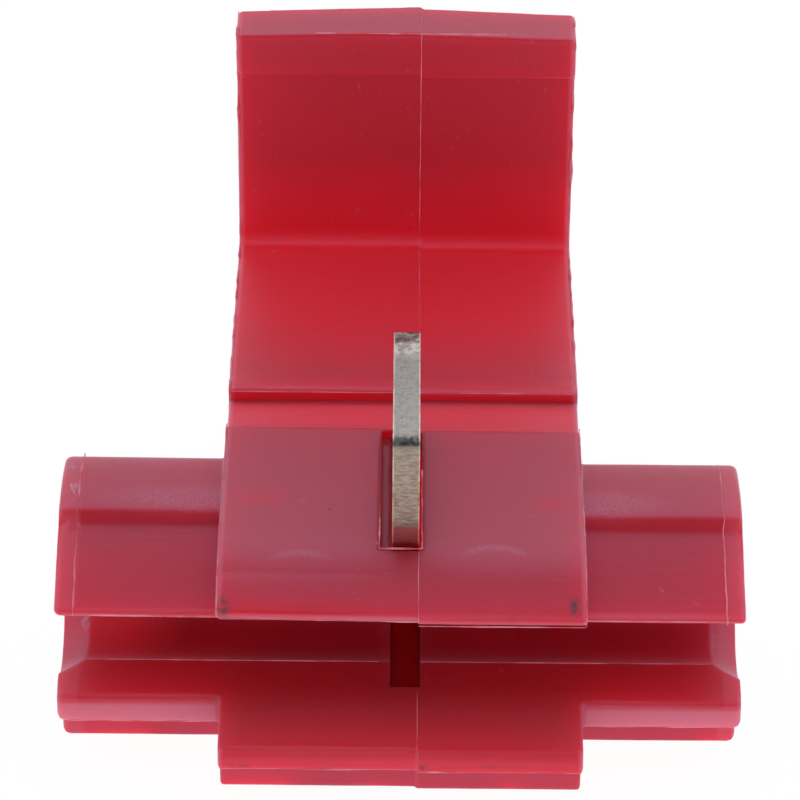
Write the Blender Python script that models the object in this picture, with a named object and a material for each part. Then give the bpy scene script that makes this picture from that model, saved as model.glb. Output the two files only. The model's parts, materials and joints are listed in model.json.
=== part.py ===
"""Snap-over wire tap (T-tap) for board and cable work, moulded in red plastic with a slotted metal contact.

Every section is drawn in a Y-Z plane and extruded along X, the direction of the wires.
Section coordinates are measured from the front lip of the upper jaw (y = 0) and from the base (z = 0).
The finished part stands on its base, centred over the origin, with its cover folded open behind it.
"""

import math

import bmesh
import bpy

MM = 0.001

# Central block of the housing
BLOCK_WIDTH = 10.9 * MM
BLOCK_BACK = 8.6 * MM
BLOCK_HEIGHT = 7.93 * MM
SHOULDER_START = 2.8 * MM
SHOULDER_RADIUS = 4.4 * MM
BACK_CREST_RADIUS = 0.2 * MM
LEDGE_FRONT = -0.55 * MM
LEDGE_HEIGHT = 1.7 * MM
LEDGE_FALL = 0.12 * MM
RISER_FRONT = 0.78 * MM

# The mould opens along X: its parting plane, the draft of the cover and how far its right half is out of line
PARTING_X = 0.48 * MM
DRAFT_ANGLE = 1.3
HOUSING_MISMATCH = 0.1 * MM
COVER_MISMATCH = 0.08 * MM
HALF_OVERLAP = 0.02 * MM

# Mouth between the jaws, open to the front along the whole housing
JAW_HEIGHT = 6.72 * MM
JAW_SLOPE = -0.67
SHELF_FRONT = -0.3 * MM
SHELF_HEIGHT = 2.33 * MM
SHELF_SLOPE = 0.21
MOUTH_REACH = 2.0 * MM

# Wire channels
RUN_Y = 3.8 * MM
RUN_Z = 4.23 * MM
RUN_RADIUS = 1.4 * MM
RUN_FLARE_RADIUS = 1.85 * MM
RUN_FLARE_LENGTH = 0.8 * MM
TAP_Y = 6.9 * MM
TAP_Z = 4.42 * MM
TAP_RADIUS = 1.05 * MM
TAP_FLARE_RADIUS = 1.2 * MM
TAP_FLARE_LENGTH = 0.3 * MM
TAP_STOP_X = -7.4 * MM

# Twin barrels on both sides of the block
HOUSING_LENGTH = 20.54 * MM
RUN_BARREL_RADIUS = 2.25 * MM
RUN_BARREL_Z = 4.83 * MM
TAP_BARREL_RADIUS = 2.2 * MM
TAP_BARREL_SETBACK = 1.9 * MM
TAP_BARREL_Z = 5.33 * MM
BARREL_BACK = 8.5 * MM
BARREL_BACK_RADIUS = 1.36 * MM
BARREL_HEEL = 0.25 * MM
GROOVE_FILLET = 0.3 * MM
BARREL_END_ROUND = 0.25 * MM
KEEL_FRONT = 3.25 * MM
NOSE_FRONT = 1.6 * MM
NOSE_RADIUS = 0.4 * MM
NOSE_BOTTOM = 1.8 * MM
COLLAR_LENGTH = 0.9 * MM
COLLAR_FILL = 0.16 * MM

# Slot that holds the contact
SLOT_FRONT = 2.1 * MM
SLOT_BACK = 8.4 * MM
SLOT_FLOOR = 1.8 * MM
WIDE_SLOT_LEFT = -0.67 * MM
WIDE_SLOT_RIGHT = 0.55 * MM
WIDE_SLOT_FLOOR = 5.88 * MM

# Contact plate, standing proud before it is pressed home
CONTACT_THICKNESS = 0.8 * MM
CONTACT_X = 0.1 * MM
CONTACT_SIDE_FIT = 0.04 * MM
CONTACT_FRONT_GAP = 0.2 * MM
CONTACT_BACK_GAP = 0.05 * MM
CONTACT_HEIGHT = 5.7 * MM
CONTACT_PRESS = 3.7 * MM
CONTACT_CORNER = 0.25 * MM
WIRE_SLOT_WIDTH = 0.55 * MM
WIRE_SLOT_DEPTH = 2.95 * MM
WIRE_SLOT_MOUTH = 1.15 * MM
WIRE_SLOT_LEAD = 0.75 * MM
LEG_TIP_CHAMFER = 0.3 * MM

# Living hinge
STRAP_LENGTH = 2.05 * MM
STRAP_THICKNESS = 0.4 * MM
STRAP_DROP = 0.36 * MM

# Cover, drawn closed over the block and then turned open about the hinge
HINGE_RISE = 0.02 * MM
COVER_CLOSED_ANGLE = 181.5
COVER_CLEARANCE = 0.12 * MM
COVER_PLATE_THICKNESS = 1.1 * MM
COVER_BEAD_HEIGHT = 0.07 * MM
COVER_BEAD_WIDTH = 0.9 * MM
COVER_BEAD_ROUND = 0.15 * MM
COVER_WALL_GAP = 0.16 * MM
COVER_WALL_THICKNESS = 1.45 * MM
COVER_CORNER_FILLET = 0.5 * MM
COVER_OUTER_RADIUS = 0.9 * MM
HOOK_REACH = 0.5 * MM
HOOK_HEIGHT = 1.52 * MM
HOOK_CATCH_FALL = 0.05 * MM
HOOK_ROUND = 0.15 * MM
LATCH_CLEARANCE = 0.15 * MM

ARC_STEPS = 8
BORE_STEPS = 40
CUT_MARGIN = 1.0 * MM

# Sizes that follow from the ones above
BLOCK_HALF = BLOCK_WIDTH / 2
HOUSING_HALF = HOUSING_LENGTH / 2
CONTACT_FRONT = SLOT_FRONT + CONTACT_FRONT_GAP
CONTACT_BACK = SLOT_BACK - CONTACT_BACK_GAP
CONTACT_TOP = BLOCK_HEIGHT + CONTACT_PRESS
TAP_BARREL_Y = BARREL_BACK - TAP_BARREL_SETBACK
STRAP_BOTTOM = BLOCK_HEIGHT - STRAP_DROP - STRAP_THICKNESS
HINGE_Y = BLOCK_BACK + STRAP_LENGTH / 2
HINGE_Z = BLOCK_HEIGHT + HINGE_RISE


def opened(point):
    """A point of the closed cover, where it lies once the cover is turned open."""
    turn = -math.radians(COVER_CLOSED_ANGLE)
    y = point[0] - HINGE_Y
    z = point[1] - HINGE_Z
    return HINGE_Y + y * math.cos(turn) - z * math.sin(turn), HINGE_Z + y * math.sin(turn) + z * math.cos(turn)


COVER_TIP = LEDGE_HEIGHT - LATCH_CLEARANCE - HOOK_HEIGHT
COVER_FAR = opened((LEDGE_FRONT - COVER_WALL_GAP - COVER_WALL_THICKNESS, COVER_TIP + HOOK_ROUND))[0]
MIDDLE_Y = (LEDGE_FRONT - HOUSING_MISMATCH + COVER_FAR) / 2


def make_material(name, colour, roughness, metallic=0.0):
    material = bpy.data.materials.new(name)
    material.use_nodes = True
    shader = material.node_tree.nodes["Principled BSDF"]
    shader.inputs["Base Color"].default_value = (*colour, 1.0)
    shader.inputs["Roughness"].default_value = roughness
    shader.inputs["Metallic"].default_value = metallic
    return material


def arc(center, radius, start, end, steps=ARC_STEPS):
    """Points on a circular arc, with its angles in degrees from +Y towards +Z."""
    points = []
    for index in range(steps + 1):
        angle = math.radians(start + (end - start) * index / steps)
        points.append((center[0] + radius * math.cos(angle), center[1] + radius * math.sin(angle)))
    return points


def line_meets_circle(height, slope, center, radius):
    """The front point where the line z = height + slope * y meets a circle."""
    a = 1 + slope ** 2
    b = slope * (height - center[1]) - center[0]
    c = center[0] ** 2 + (height - center[1]) ** 2 - radius ** 2
    y = (-b - math.sqrt(b * b - a * c)) / a
    return y, height + slope * y


def angle_on(center, point):
    return math.degrees(math.atan2(point[1] - center[1], point[0] - center[0])) % 360


def jaw_height(y):
    return JAW_HEIGHT + JAW_SLOPE * y


def shelf_height(y):
    return SHELF_HEIGHT + SHELF_SLOPE * (y - SHELF_FRONT)


def loft(name, stations):
    """One closed body through outlines of equal length, each standing at its own x."""
    mesh = bmesh.new()
    rings = [[mesh.verts.new((x, y, z)) for y, z in outline] for x, outline in stations]
    mesh.faces.new(rings[0])
    mesh.faces.new(list(reversed(rings[-1])))
    count = len(rings[0])
    for near, far in zip(rings, rings[1:]):
        for index in range(count):
            after = (index + 1) % count
            mesh.faces.new((near[index], near[after], far[after], far[index]))
    bmesh.ops.recalc_face_normals(mesh, faces=mesh.faces)
    return to_object(name, mesh)


def prism(name, outline, left, right):
    return loft(name, [(left, outline), (right, outline)])


def to_object(name, mesh):
    data = bpy.data.meshes.new(name)
    mesh.to_mesh(data)
    mesh.free()
    thing = bpy.data.objects.new(name, data)
    bpy.context.collection.objects.link(thing)
    return thing


def box(name, low, high):
    outline = [(low[1], low[2]), (high[1], low[2]), (high[1], high[2]), (low[1], high[2])]
    return prism(name, outline, low[0], high[0])


def bore_rod(name, center, profile):
    """A turned rod along X, from pairs of x and radius."""
    stations = []
    for x, radius in profile:
        outline = arc(center, radius, 0, 360 - 360 / BORE_STEPS, BORE_STEPS - 1)
        stations.append((x, outline))
    return loft(name, stations)


def combine(target, tool, operation):
    """Apply one exact Boolean and remove the tool body."""
    modifier = target.modifiers.new(operation.title(), "BOOLEAN")
    modifier.operation = operation
    modifier.object = tool
    bpy.context.view_layer.update()
    evaluated = target.evaluated_get(bpy.context.evaluated_depsgraph_get())
    result = bpy.data.meshes.new_from_object(evaluated)
    target.modifiers.remove(modifier)
    target.data = result
    bpy.data.objects.remove(tool)


def round_end_edges(thing, end, radius):
    """Round the edges all round the flat face that stands at the given x."""
    mesh = bmesh.new()
    mesh.from_mesh(thing.data)
    tolerance = 1e-7
    edges = [edge for edge in mesh.edges if all(abs(vert.co.x - end) < tolerance for vert in edge.verts)]
    bmesh.ops.bevel(mesh, geom=edges, offset=radius, segments=3, profile=0.5, affect="EDGES")
    mesh.to_mesh(thing.data)
    mesh.free()


def block_outline():
    """Section of the central block, drawn solid across the mouth."""
    shoulder = (SHOULDER_START, BLOCK_HEIGHT - SHOULDER_RADIUS)
    sweep = math.degrees(math.acos(-SHOULDER_START / SHOULDER_RADIUS))
    crest = (BLOCK_BACK - BACK_CREST_RADIUS, BLOCK_HEIGHT - BACK_CREST_RADIUS)
    outline = [(RISER_FRONT, 0.0), (BLOCK_BACK, 0.0)]
    outline += arc(crest, BACK_CREST_RADIUS, 0, 90, 4)
    outline += arc(shoulder, SHOULDER_RADIUS, 90, sweep, 10)
    outline.append((0.0, (jaw_height(0.0) + shelf_height(0.0)) / 2))
    outline.append((SHELF_FRONT, shelf_height(SHELF_FRONT)))
    outline.append((LEDGE_FRONT, LEDGE_HEIGHT))
    outline.append((RISER_FRONT, LEDGE_HEIGHT - LEDGE_FALL))
    return outline


def barrel_outline():
    """Section of the twin barrels, drawn solid across the mouth."""
    back_arc = arc((BARREL_BACK - BARREL_BACK_RADIUS, barrel_back_z()), BARREL_BACK_RADIUS, 0, back_turn(), 5)
    tap_center = (TAP_BARREL_Y, TAP_BARREL_Z)
    run_center = (RUN_Y, RUN_BARREL_Z)
    groove = groove_fillet(tap_center, run_center)
    nose = (NOSE_FRONT + NOSE_RADIUS, shelf_height(NOSE_FRONT + NOSE_RADIUS) - NOSE_RADIUS)
    outline = [(KEEL_FRONT, 0.0), (BARREL_BACK - BARREL_HEEL, 0.0), (BARREL_BACK, BARREL_HEEL)]
    outline += back_arc
    outline += arc(tap_center, TAP_BARREL_RADIUS, back_turn(), angle_on(tap_center, groove[0]), 8)[1:-1]
    outline += groove
    outline += arc(run_center, RUN_BARREL_RADIUS, angle_on(run_center, groove[-1]), 160, 10)[1:]
    outline.append((NOSE_FRONT + RUN_BARREL_RADIUS / 2, RUN_Z))
    outline += arc(nose, NOSE_RADIUS, 90, 180, 5)
    outline += [(NOSE_FRONT, NOSE_BOTTOM), (KEEL_FRONT, NOSE_BOTTOM)]
    return outline


def back_turn():
    """Angle at which the tap barrel hands over to its tighter back arc."""
    return math.degrees(math.acos((BARREL_BACK - BARREL_BACK_RADIUS - TAP_BARREL_Y)
                                  / (TAP_BARREL_RADIUS - BARREL_BACK_RADIUS)))


def barrel_back_z():
    turn = math.radians(back_turn())
    return TAP_BARREL_Z + (TAP_BARREL_RADIUS - BARREL_BACK_RADIUS) * math.sin(turn)


def groove_fillet(tap_center, run_center):
    """The small fillet in the valley between the two barrels, from the tap side to the run side."""
    tap_reach = TAP_BARREL_RADIUS + GROOVE_FILLET
    run_reach = RUN_BARREL_RADIUS + GROOVE_FILLET
    span = math.dist(tap_center, run_center)
    along = (tap_reach ** 2 - run_reach ** 2 + span ** 2) / (2 * span)
    rise = math.sqrt(tap_reach ** 2 - along ** 2)
    toward = ((run_center[0] - tap_center[0]) / span, (run_center[1] - tap_center[1]) / span)
    center = (tap_center[0] + along * toward[0] + rise * toward[1],
              tap_center[1] + along * toward[1] - rise * toward[0])
    start = angle_on(center, tap_center)
    end = angle_on(center, run_center)
    return arc(center, GROOVE_FILLET, start, end, 4)


def mouth_outline():
    """The open mouth and the run channel, as one cutter section."""
    center = (RUN_Y, RUN_Z)
    upper = line_meets_circle(JAW_HEIGHT, JAW_SLOPE, center, RUN_RADIUS)
    lower = line_meets_circle(SHELF_HEIGHT - SHELF_SLOPE * SHELF_FRONT, SHELF_SLOPE, center, RUN_RADIUS)
    start = angle_on(center, lower) - 360
    end = angle_on(center, upper)
    front = LEDGE_FRONT - MOUTH_REACH
    outline = [(front, shelf_height(front))]
    outline += arc(center, RUN_RADIUS, start, end, 24)
    outline.append((front, jaw_height(front)))
    return outline


def collar_outline():
    """Fills part of the groove at each end, where the barrels are closed by a collar."""
    low = TAP_BARREL_Z + TAP_BARREL_RADIUS * 0.4
    valley = RUN_BARREL_Z + RUN_BARREL_RADIUS - COLLAR_FILL
    return [(RUN_Y, low), (TAP_BARREL_Y, low), (TAP_BARREL_Y, valley), (RUN_Y, valley)]


def cover_outline(inset):
    """Section of the cover, drawn closed: a plate over the block, then a wall with the latch hook."""
    near = BLOCK_BACK
    inner = BLOCK_HEIGHT + COVER_CLEARANCE
    outer = inner + COVER_PLATE_THICKNESS - inset
    wall_inner = LEDGE_FRONT - COVER_WALL_GAP
    wall_outer = wall_inner - COVER_WALL_THICKNESS + inset
    nose = wall_inner + HOOK_REACH
    catch = LEDGE_HEIGHT - LATCH_CLEARANCE
    tip = COVER_TIP + inset
    bead = inner - COVER_BEAD_HEIGHT
    outline = [(near, outer)]
    outline += arc((wall_outer + COVER_OUTER_RADIUS, outer - COVER_OUTER_RADIUS), COVER_OUTER_RADIUS, 90, 180, 6)
    outline += [(wall_outer, tip + HOOK_ROUND), (wall_outer + HOOK_ROUND, tip)]
    outline += [(nose - HOOK_ROUND, tip), (nose, tip + HOOK_ROUND)]
    outline += [(nose, catch), (wall_inner, catch + HOOK_CATCH_FALL)]
    outline += arc((wall_inner + COVER_CORNER_FILLET, inner - COVER_CORNER_FILLET), COVER_CORNER_FILLET, 180, 90, 6)
    outline += [(near - COVER_BEAD_WIDTH, inner), (near - COVER_BEAD_WIDTH / 2, bead)]
    outline += arc((near - COVER_BEAD_ROUND, bead + COVER_BEAD_ROUND), COVER_BEAD_ROUND, 270, 360, 4)
    return [opened(point) for point in outline]


def contact_outline():
    """The slotted plate seen from its side: three legs, with a tapered slot for each wire."""
    tip = CONTACT_TOP - CONTACT_HEIGHT
    slot_top = tip + WIRE_SLOT_DEPTH
    half = WIRE_SLOT_WIDTH / 2
    outline = [(CONTACT_FRONT, tip + LEG_TIP_CHAMFER), (CONTACT_FRONT + LEG_TIP_CHAMFER, tip)]
    for wire_y in (RUN_Y, TAP_Y):
        outline += [(wire_y - WIRE_SLOT_MOUTH / 2, tip), (wire_y - half, tip + WIRE_SLOT_LEAD)]
        outline += arc((wire_y, slot_top - half), half, 180, 0, 6)
        outline += [(wire_y + half, tip + WIRE_SLOT_LEAD), (wire_y + WIRE_SLOT_MOUTH / 2, tip)]
    outline += [(CONTACT_BACK - LEG_TIP_CHAMFER, tip), (CONTACT_BACK, tip + LEG_TIP_CHAMFER)]
    corner_z = CONTACT_TOP - CONTACT_CORNER
    outline += arc((CONTACT_BACK - CONTACT_CORNER, corner_z), CONTACT_CORNER, 0, 90, 4)
    outline += arc((CONTACT_FRONT + CONTACT_CORNER, corner_z), CONTACT_CORNER, 90, 180, 4)
    return outline


def shifted(outline, forward, down):
    return [(y - forward, z - down) for y, z in outline]


def two_halves(name, left_outline, right_outline, half_length):
    """Two prisms that meet at the parting plane."""
    left = prism(name, left_outline, -half_length, PARTING_X)
    right = prism(name, right_outline, PARTING_X - HALF_OVERLAP, half_length)
    return left, right


def make_housing():
    barrels = barrel_outline()
    moved = shifted(barrels, HOUSING_MISMATCH, 0.0)
    housing, right = two_halves("housing", barrels, moved, HOUSING_HALF)
    round_end_edges(housing, -HOUSING_HALF, BARREL_END_ROUND)
    round_end_edges(right, HOUSING_HALF, BARREL_END_ROUND)
    combine(housing, right, "UNION")
    inner = HOUSING_HALF - COLLAR_LENGTH
    outer = HOUSING_HALF - BARREL_END_ROUND
    for near, far in ((-outer, -inner), (inner, outer)):
        combine(housing, prism("collar", collar_outline(), near, far), "UNION")
    block = block_outline()
    for half in two_halves("block", block, shifted(block, HOUSING_MISMATCH, 0.0), BLOCK_HALF):
        combine(housing, half, "UNION")
    reach = HOUSING_HALF + CUT_MARGIN
    combine(housing, prism("mouth", mouth_outline(), -reach, reach), "DIFFERENCE")
    for side in (-1, 1):
        combine(housing, end_flare(side), "DIFFERENCE")
    combine(housing, tap_bore(), "DIFFERENCE")
    for cutter in contact_slot_cutters():
        combine(housing, cutter, "DIFFERENCE")
    return housing


def end_flare(side):
    """Funnel at one end of the run channel."""
    slope = (RUN_FLARE_RADIUS - RUN_RADIUS) / RUN_FLARE_LENGTH
    inner = (side * (HOUSING_HALF - RUN_FLARE_LENGTH - CUT_MARGIN / 4), RUN_RADIUS - slope * CUT_MARGIN / 4)
    outer = (side * (HOUSING_HALF + CUT_MARGIN / 4), RUN_FLARE_RADIUS + slope * CUT_MARGIN / 4)
    return bore_rod("run_flare", (RUN_Y, RUN_Z), [inner, outer])


def tap_bore():
    """Blind bore for the tap wire, with a lead-in at its open end."""
    mouth = HOUSING_HALF - TAP_FLARE_LENGTH
    profile = [(TAP_STOP_X, TAP_RADIUS), (mouth, TAP_RADIUS), (HOUSING_HALF, TAP_FLARE_RADIUS),
               (HOUSING_HALF + CUT_MARGIN, TAP_FLARE_RADIUS)]
    return bore_rod("tap_bore", (TAP_Y, TAP_Z), profile)


def contact_slot_cutters():
    top = BLOCK_HEIGHT + CUT_MARGIN
    half = CONTACT_THICKNESS / 2 + CONTACT_SIDE_FIT
    narrow = box("slot", (CONTACT_X - half, SLOT_FRONT, SLOT_FLOOR), (CONTACT_X + half, SLOT_BACK, top))
    wide = box("wide_slot", (WIDE_SLOT_LEFT, SLOT_FRONT, WIDE_SLOT_FLOOR), (WIDE_SLOT_RIGHT, SLOT_BACK, top))
    return narrow, wide


def cover_face(z):
    """Where the open cover's near face stands at a height, in section coordinates."""
    high = opened((BLOCK_BACK, HINGE_Z))
    low = opened((BLOCK_BACK, HINGE_Z + COVER_PLATE_THICKNESS))
    return high[0] + (z - high[1]) * (low[0] - high[0]) / (low[1] - high[1])


def strap_outline(start):
    top = STRAP_BOTTOM + STRAP_THICKNESS
    return [(start, STRAP_BOTTOM), (cover_face(STRAP_BOTTOM), STRAP_BOTTOM), (cover_face(top), top), (start, top)]


def make_strap():
    right_outline = shifted(strap_outline(BLOCK_BACK - HOUSING_MISMATCH), 0.0, COVER_MISMATCH)
    strap, right = two_halves("hinge_strap", strap_outline(BLOCK_BACK), right_outline, BLOCK_HALF)
    combine(strap, right, "UNION")
    return strap


def make_cover():
    """Both halves of the cover, drafted from the parting plane to their ends."""
    cover = drafted_half("cover", -BLOCK_HALF, 0.0)
    combine(cover, drafted_half("right_half", BLOCK_HALF, COVER_MISMATCH), "UNION")
    return cover


def drafted_half(name, end, down):
    inset = abs(end - PARTING_X) * math.tan(math.radians(DRAFT_ANGLE))
    start = PARTING_X - HALF_OVERLAP if end > PARTING_X else PARTING_X
    near = shifted(cover_outline(0.0), 0.0, down)
    far = shifted(cover_outline(inset), 0.0, down)
    return loft(name, [(start, near), (end, far)])


def make_contact():
    half = CONTACT_THICKNESS / 2
    return prism("contact_plate", contact_outline(), CONTACT_X - half, CONTACT_X + half)


def set_origin(thing, point):
    """Move the object's origin to a section point without moving its surface."""
    shift = (0.0, point[0], point[1])
    for vert in thing.data.vertices:
        vert.co.y -= shift[1]
        vert.co.z -= shift[2]
    thing.location = shift


def finish(thing, material, frame, origin):
    thing.data.materials.clear()
    thing.data.materials.append(material)
    thing.data.shade_smooth()
    thing.data.set_sharp_from_angle(angle=math.radians(30))
    set_origin(thing, origin)
    thing.parent = frame


def main():
    for thing in list(bpy.data.objects):
        bpy.data.objects.remove(thing)
    frame = bpy.data.objects.new("section_frame", None)
    frame.location.y = -MIDDLE_Y
    bpy.context.collection.objects.link(frame)
    red = make_material("red_nylon", (0.52, 0.016, 0.035), 0.42)
    tinned = make_material("tinned_brass", (0.66, 0.64, 0.60), 0.32, 1.0)
    finish(make_housing(), red, frame, (0.0, 0.0))
    finish(make_strap(), red, frame, (BLOCK_BACK, STRAP_BOTTOM))
    finish(make_cover(), red, frame, (HINGE_Y, HINGE_Z))
    finish(make_contact(), tinned, frame, (CONTACT_FRONT, CONTACT_TOP))


main()
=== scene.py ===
"""Looks of a snap-over wire tap: satin red mouldings, a thin living hinge and a stamped, tinned contact.

The pieces are drawn in millimetres and brought to metres when they are finished. A section lies in a Y-Z plane
and is measured from the front lip of the upper jaw (y = 0) and from the base (z = 0); it runs along X, the
direction of the wires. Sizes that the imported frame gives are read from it.
"""

import json
import math

import bmesh
import bpy
from bpy.props import FloatProperty, IntProperty, PointerProperty, StringProperty
from mathutils import Matrix, Vector, noise


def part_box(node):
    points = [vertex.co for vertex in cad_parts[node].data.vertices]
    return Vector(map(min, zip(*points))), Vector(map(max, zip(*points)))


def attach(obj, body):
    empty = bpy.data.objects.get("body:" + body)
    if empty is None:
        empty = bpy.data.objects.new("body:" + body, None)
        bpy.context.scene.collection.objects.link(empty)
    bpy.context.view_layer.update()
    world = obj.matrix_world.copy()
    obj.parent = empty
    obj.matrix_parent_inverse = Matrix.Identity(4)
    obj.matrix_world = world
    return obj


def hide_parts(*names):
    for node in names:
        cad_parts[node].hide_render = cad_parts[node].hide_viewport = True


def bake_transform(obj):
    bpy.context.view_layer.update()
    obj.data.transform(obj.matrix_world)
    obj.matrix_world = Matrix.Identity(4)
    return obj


bl_info = {
    "name": "Wire Tap Looks",
    "version": (1, 0, 0),
    "blender": (4, 5, 0),
    "location": "View3D > Sidebar > Wire Tap",
    "description": "Moulded housing, hinged cover and stamped contact of a snap-over wire tap",
    "category": "Object",
}

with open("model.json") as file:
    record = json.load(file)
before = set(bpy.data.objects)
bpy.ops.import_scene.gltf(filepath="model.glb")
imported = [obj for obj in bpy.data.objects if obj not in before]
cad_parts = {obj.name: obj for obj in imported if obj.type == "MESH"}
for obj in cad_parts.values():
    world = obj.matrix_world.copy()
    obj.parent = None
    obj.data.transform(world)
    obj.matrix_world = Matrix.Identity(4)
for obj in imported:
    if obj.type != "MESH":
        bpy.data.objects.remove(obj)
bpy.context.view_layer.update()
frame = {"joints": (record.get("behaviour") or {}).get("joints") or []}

MM = 0.001


def box_mm(node):
    """Lowest and highest corner of a CAD node, in millimetres."""
    low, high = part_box(node)
    return low / MM, high / MM


HOUSING_LOW, HOUSING_HIGH = box_mm("housing")
COVER_LOW, COVER_HIGH = box_mm("cover")
STRAP_LOW, STRAP_HIGH = box_mm("hinge_strap")
CONTACT_LOW, CONTACT_HIGH = box_mm("contact_plate")
HINGE_JOINT = next(joint for joint in frame["joints"] if joint["name"] == "cover_hinge")

# Parting of the mould: its plane, and how far the right half is out of line
PARTING_X = 0.48
HOUSING_MISMATCH = 0.1
COVER_MISMATCH = 0.08
STEP_LENGTH = 0.03

# Central block
LEDGE_FRONT = -0.55
SECTION_Y = HOUSING_LOW.y - LEDGE_FRONT + HOUSING_MISMATCH
BLOCK_HALF = COVER_HIGH.x
BLOCK_BACK = HOUSING_HIGH.y - SECTION_Y
BLOCK_HEIGHT = HOUSING_HIGH.z
BLOCK_END_ROUND = 0.06
SHOULDER_START = 2.8
SHOULDER_RADIUS = 4.4
BACK_CREST_RADIUS = 0.2
LEDGE_HEIGHT = 1.7
LEDGE_FALL = 0.12
RISER_FRONT = 0.78

# Mouth between the jaws
JAW_HEIGHT = 6.72
JAW_SLOPE = -0.67
SHELF_FRONT = -0.3
SHELF_HEIGHT = 2.33
SHELF_SLOPE = 0.21
MOUTH_REACH = 2.0

# Wire channels
RUN_Y = 3.8
RUN_Z = 4.23
RUN_RADIUS = 1.4
RUN_FLARE_RADIUS = 1.85
RUN_FLARE_LENGTH = 0.8
TAP_Y = 6.9
TAP_Z = 4.42
TAP_RADIUS = 1.05
TAP_FLARE_RADIUS = 1.2
TAP_FLARE_LENGTH = 0.3
TAP_STOP_X = -7.4

# Twin barrels
HOUSING_HALF = HOUSING_HIGH.x
LEFT_REACH = 0.1
RUN_LIP_Y = 1.69
RUN_TOP_SLOPE = 0.53
RUN_TOP_BEND = 0.035
LIP_ROUND = 0.14
TAP_CROWN_Y = 6.1
TAP_CROWN_Z = 1.4
TAP_CROWN_RADIUS = 6.0
TAP_EDGE_ANGLE = 78.0
STEP_RUN = 0.2
STEP_ROUND = 0.1
BARREL_BACK = 8.5
BARREL_BACK_RADIUS = 1.1
WARP_SLOPE = 0.006
WARP_STEP = 0.08
WARP_LIP_SLOPE = 0.0125
WARP_LOW = 3.6
WARP_HIGH = 5.4
BARREL_HEEL = 0.25
BARREL_END_ROUND = 0.2
KEEL_FRONT = 3.25
NOSE_FRONT = 1.6
NOSE_RADIUS = 0.22
NOSE_BOTTOM = 1.8
COLLAR_LENGTH = 0.5
COLLAR_FILL = 0.25
COLLAR_BACK = 0.3
COLLAR_DEPTH = 0.4
WITNESS_INSET = 0.58

# Slot of the contact
SLOT_FRONT = 2.1
SLOT_BACK = 8.4
SLOT_FLOOR = 1.8
SLOT_SIDE_FIT = 0.04
SLOT_SIDE_WEAR = 0.09
WIDE_SLOT_LEFT = -0.67
WIDE_SLOT_RIGHT = CONTACT_HIGH.x + SLOT_SIDE_WEAR
WIDE_SLOT_FLOOR = BLOCK_HEIGHT - 0.38

# Contact
WIRE_SLOT_WIDTH = 0.55
WIRE_SLOT_DEPTH = 2.95
WIRE_SLOT_MOUTH = 1.15
WIRE_SLOT_LEAD = 0.75
CONTACT_CORNER = 0.25
# Height above the block's top up to which the contact's front edge takes the painted red reflection
RED_REFLECTION_HEIGHT = 0.68
TORN_END = 0.7
BEND_INSET = 0.17

# Colours of the contact's marks, of its painted shade at the bend and of its painted red reflection of the
# block, as sRGB hex values
PIT_COLOUR = "383838"
SCRAPED_COLOUR = "DAD4CB"
TORN_COLOUR = "655250"
# Painted shade along the bend
BEND_SHADE_COLOUR = "4B4C50"
# Painted reflection of the red block on the contact's front edge, low down
RED_REFLECTION_COLOUR = "AE6161"
BURR_COLOUR = "E5DACB"

# Cover, drawn closed over the block and turned open about the hinge
HINGE_Y = HINGE_JOINT["pos_m"][1] / MM - SECTION_Y
HINGE_Z = HINGE_JOINT["pos_m"][2] / MM
COVER_TURN = HINGE_JOINT["range_deg"][1]
COVER_CLEARANCE = 0.12
COVER_PLATE_THICKNESS = 1.1
COVER_BEAD_HEIGHT = 0.07
COVER_BEAD_WIDTH = 0.9
COVER_BEAD_ROUND = 0.15
COVER_WALL_GAP = 0.16
COVER_WALL_THICKNESS = 1.45
COVER_CORNER_FILLET = 0.5
COVER_OUTER_RADIUS = 0.9
COVER_DRAFT = 1.3
COVER_END_ROUND = 0.16
HOOK_REACH = 0.5
HOOK_HEIGHT = 1.52
HOOK_CATCH_FALL = 0.05
HOOK_ROUND = 0.06
LATCH_CLEARANCE = 0.15

# Marks on the mouldings, some of them painted light: place as x, section y and z, half size, and at times how
# strong the mark is
DIRT_SPOTS = (
    ((-5.22, 0.22, 7.1), (0.28, 0.5, 0.4)),
    ((5.1, 0.25, 7.15), (0.26, 0.42, 0.36)),
    ((0.72, -0.56, 1.86), (0.22, 0.2, 0.12)),
    ((-2.19, 4.11, BLOCK_HEIGHT), (0.06, 0.08, 0.08)),
    ((-2.9, -0.62, 1.68), (0.06, 0.09, 0.07)),
)
DIRT_LINES = (
    ((3.0, -0.52, 1.87), (2.4, 0.1, 0.07)),
    ((-4.8, -0.52, 1.8), (0.75, 0.12, 0.06)),
    ((3.2, 0.04, 6.86), (1.1, 0.16, 0.16)),
)
# Whitish nicks at the left end and at the ledge's left corner, and a painted highlight on the facet inside the
# left flare
WORN_AND_HIGHLIGHT_SPOTS = (
    ((-9.68, 4.73, 3.25), (0.24, 0.4, 0.36)),
    ((-10.1, 7.06, 7.42), (0.14, 0.35, 0.3)),
    ((-9.92, 5.85, 7.4), (0.2, 0.3, 0.3)),
    ((-5.22, -0.53, 1.76), (0.09, 0.08, 0.06)),
)
# Painted glow: clearer red laid where light would come through the thin plastic, on the open cover, the crest
# and strap, the slot and the left end of the mouth
PAINTED_GLOW_SPOTS = (
    ((0.0, 17.6, 7.9), (22.0, 6.0, 3.4), 0.6),
    ((0.0, 10.4, 7.8), (22.0, 1.3, 0.9), 0.6),
    ((0.0, 6.0, 3.8), (0.9, 5.5, 2.4), 0.6),
    ((-8.6, 4.8, 3.8), (2.2, 1.8, 1.9), 0.6),
)
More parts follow.
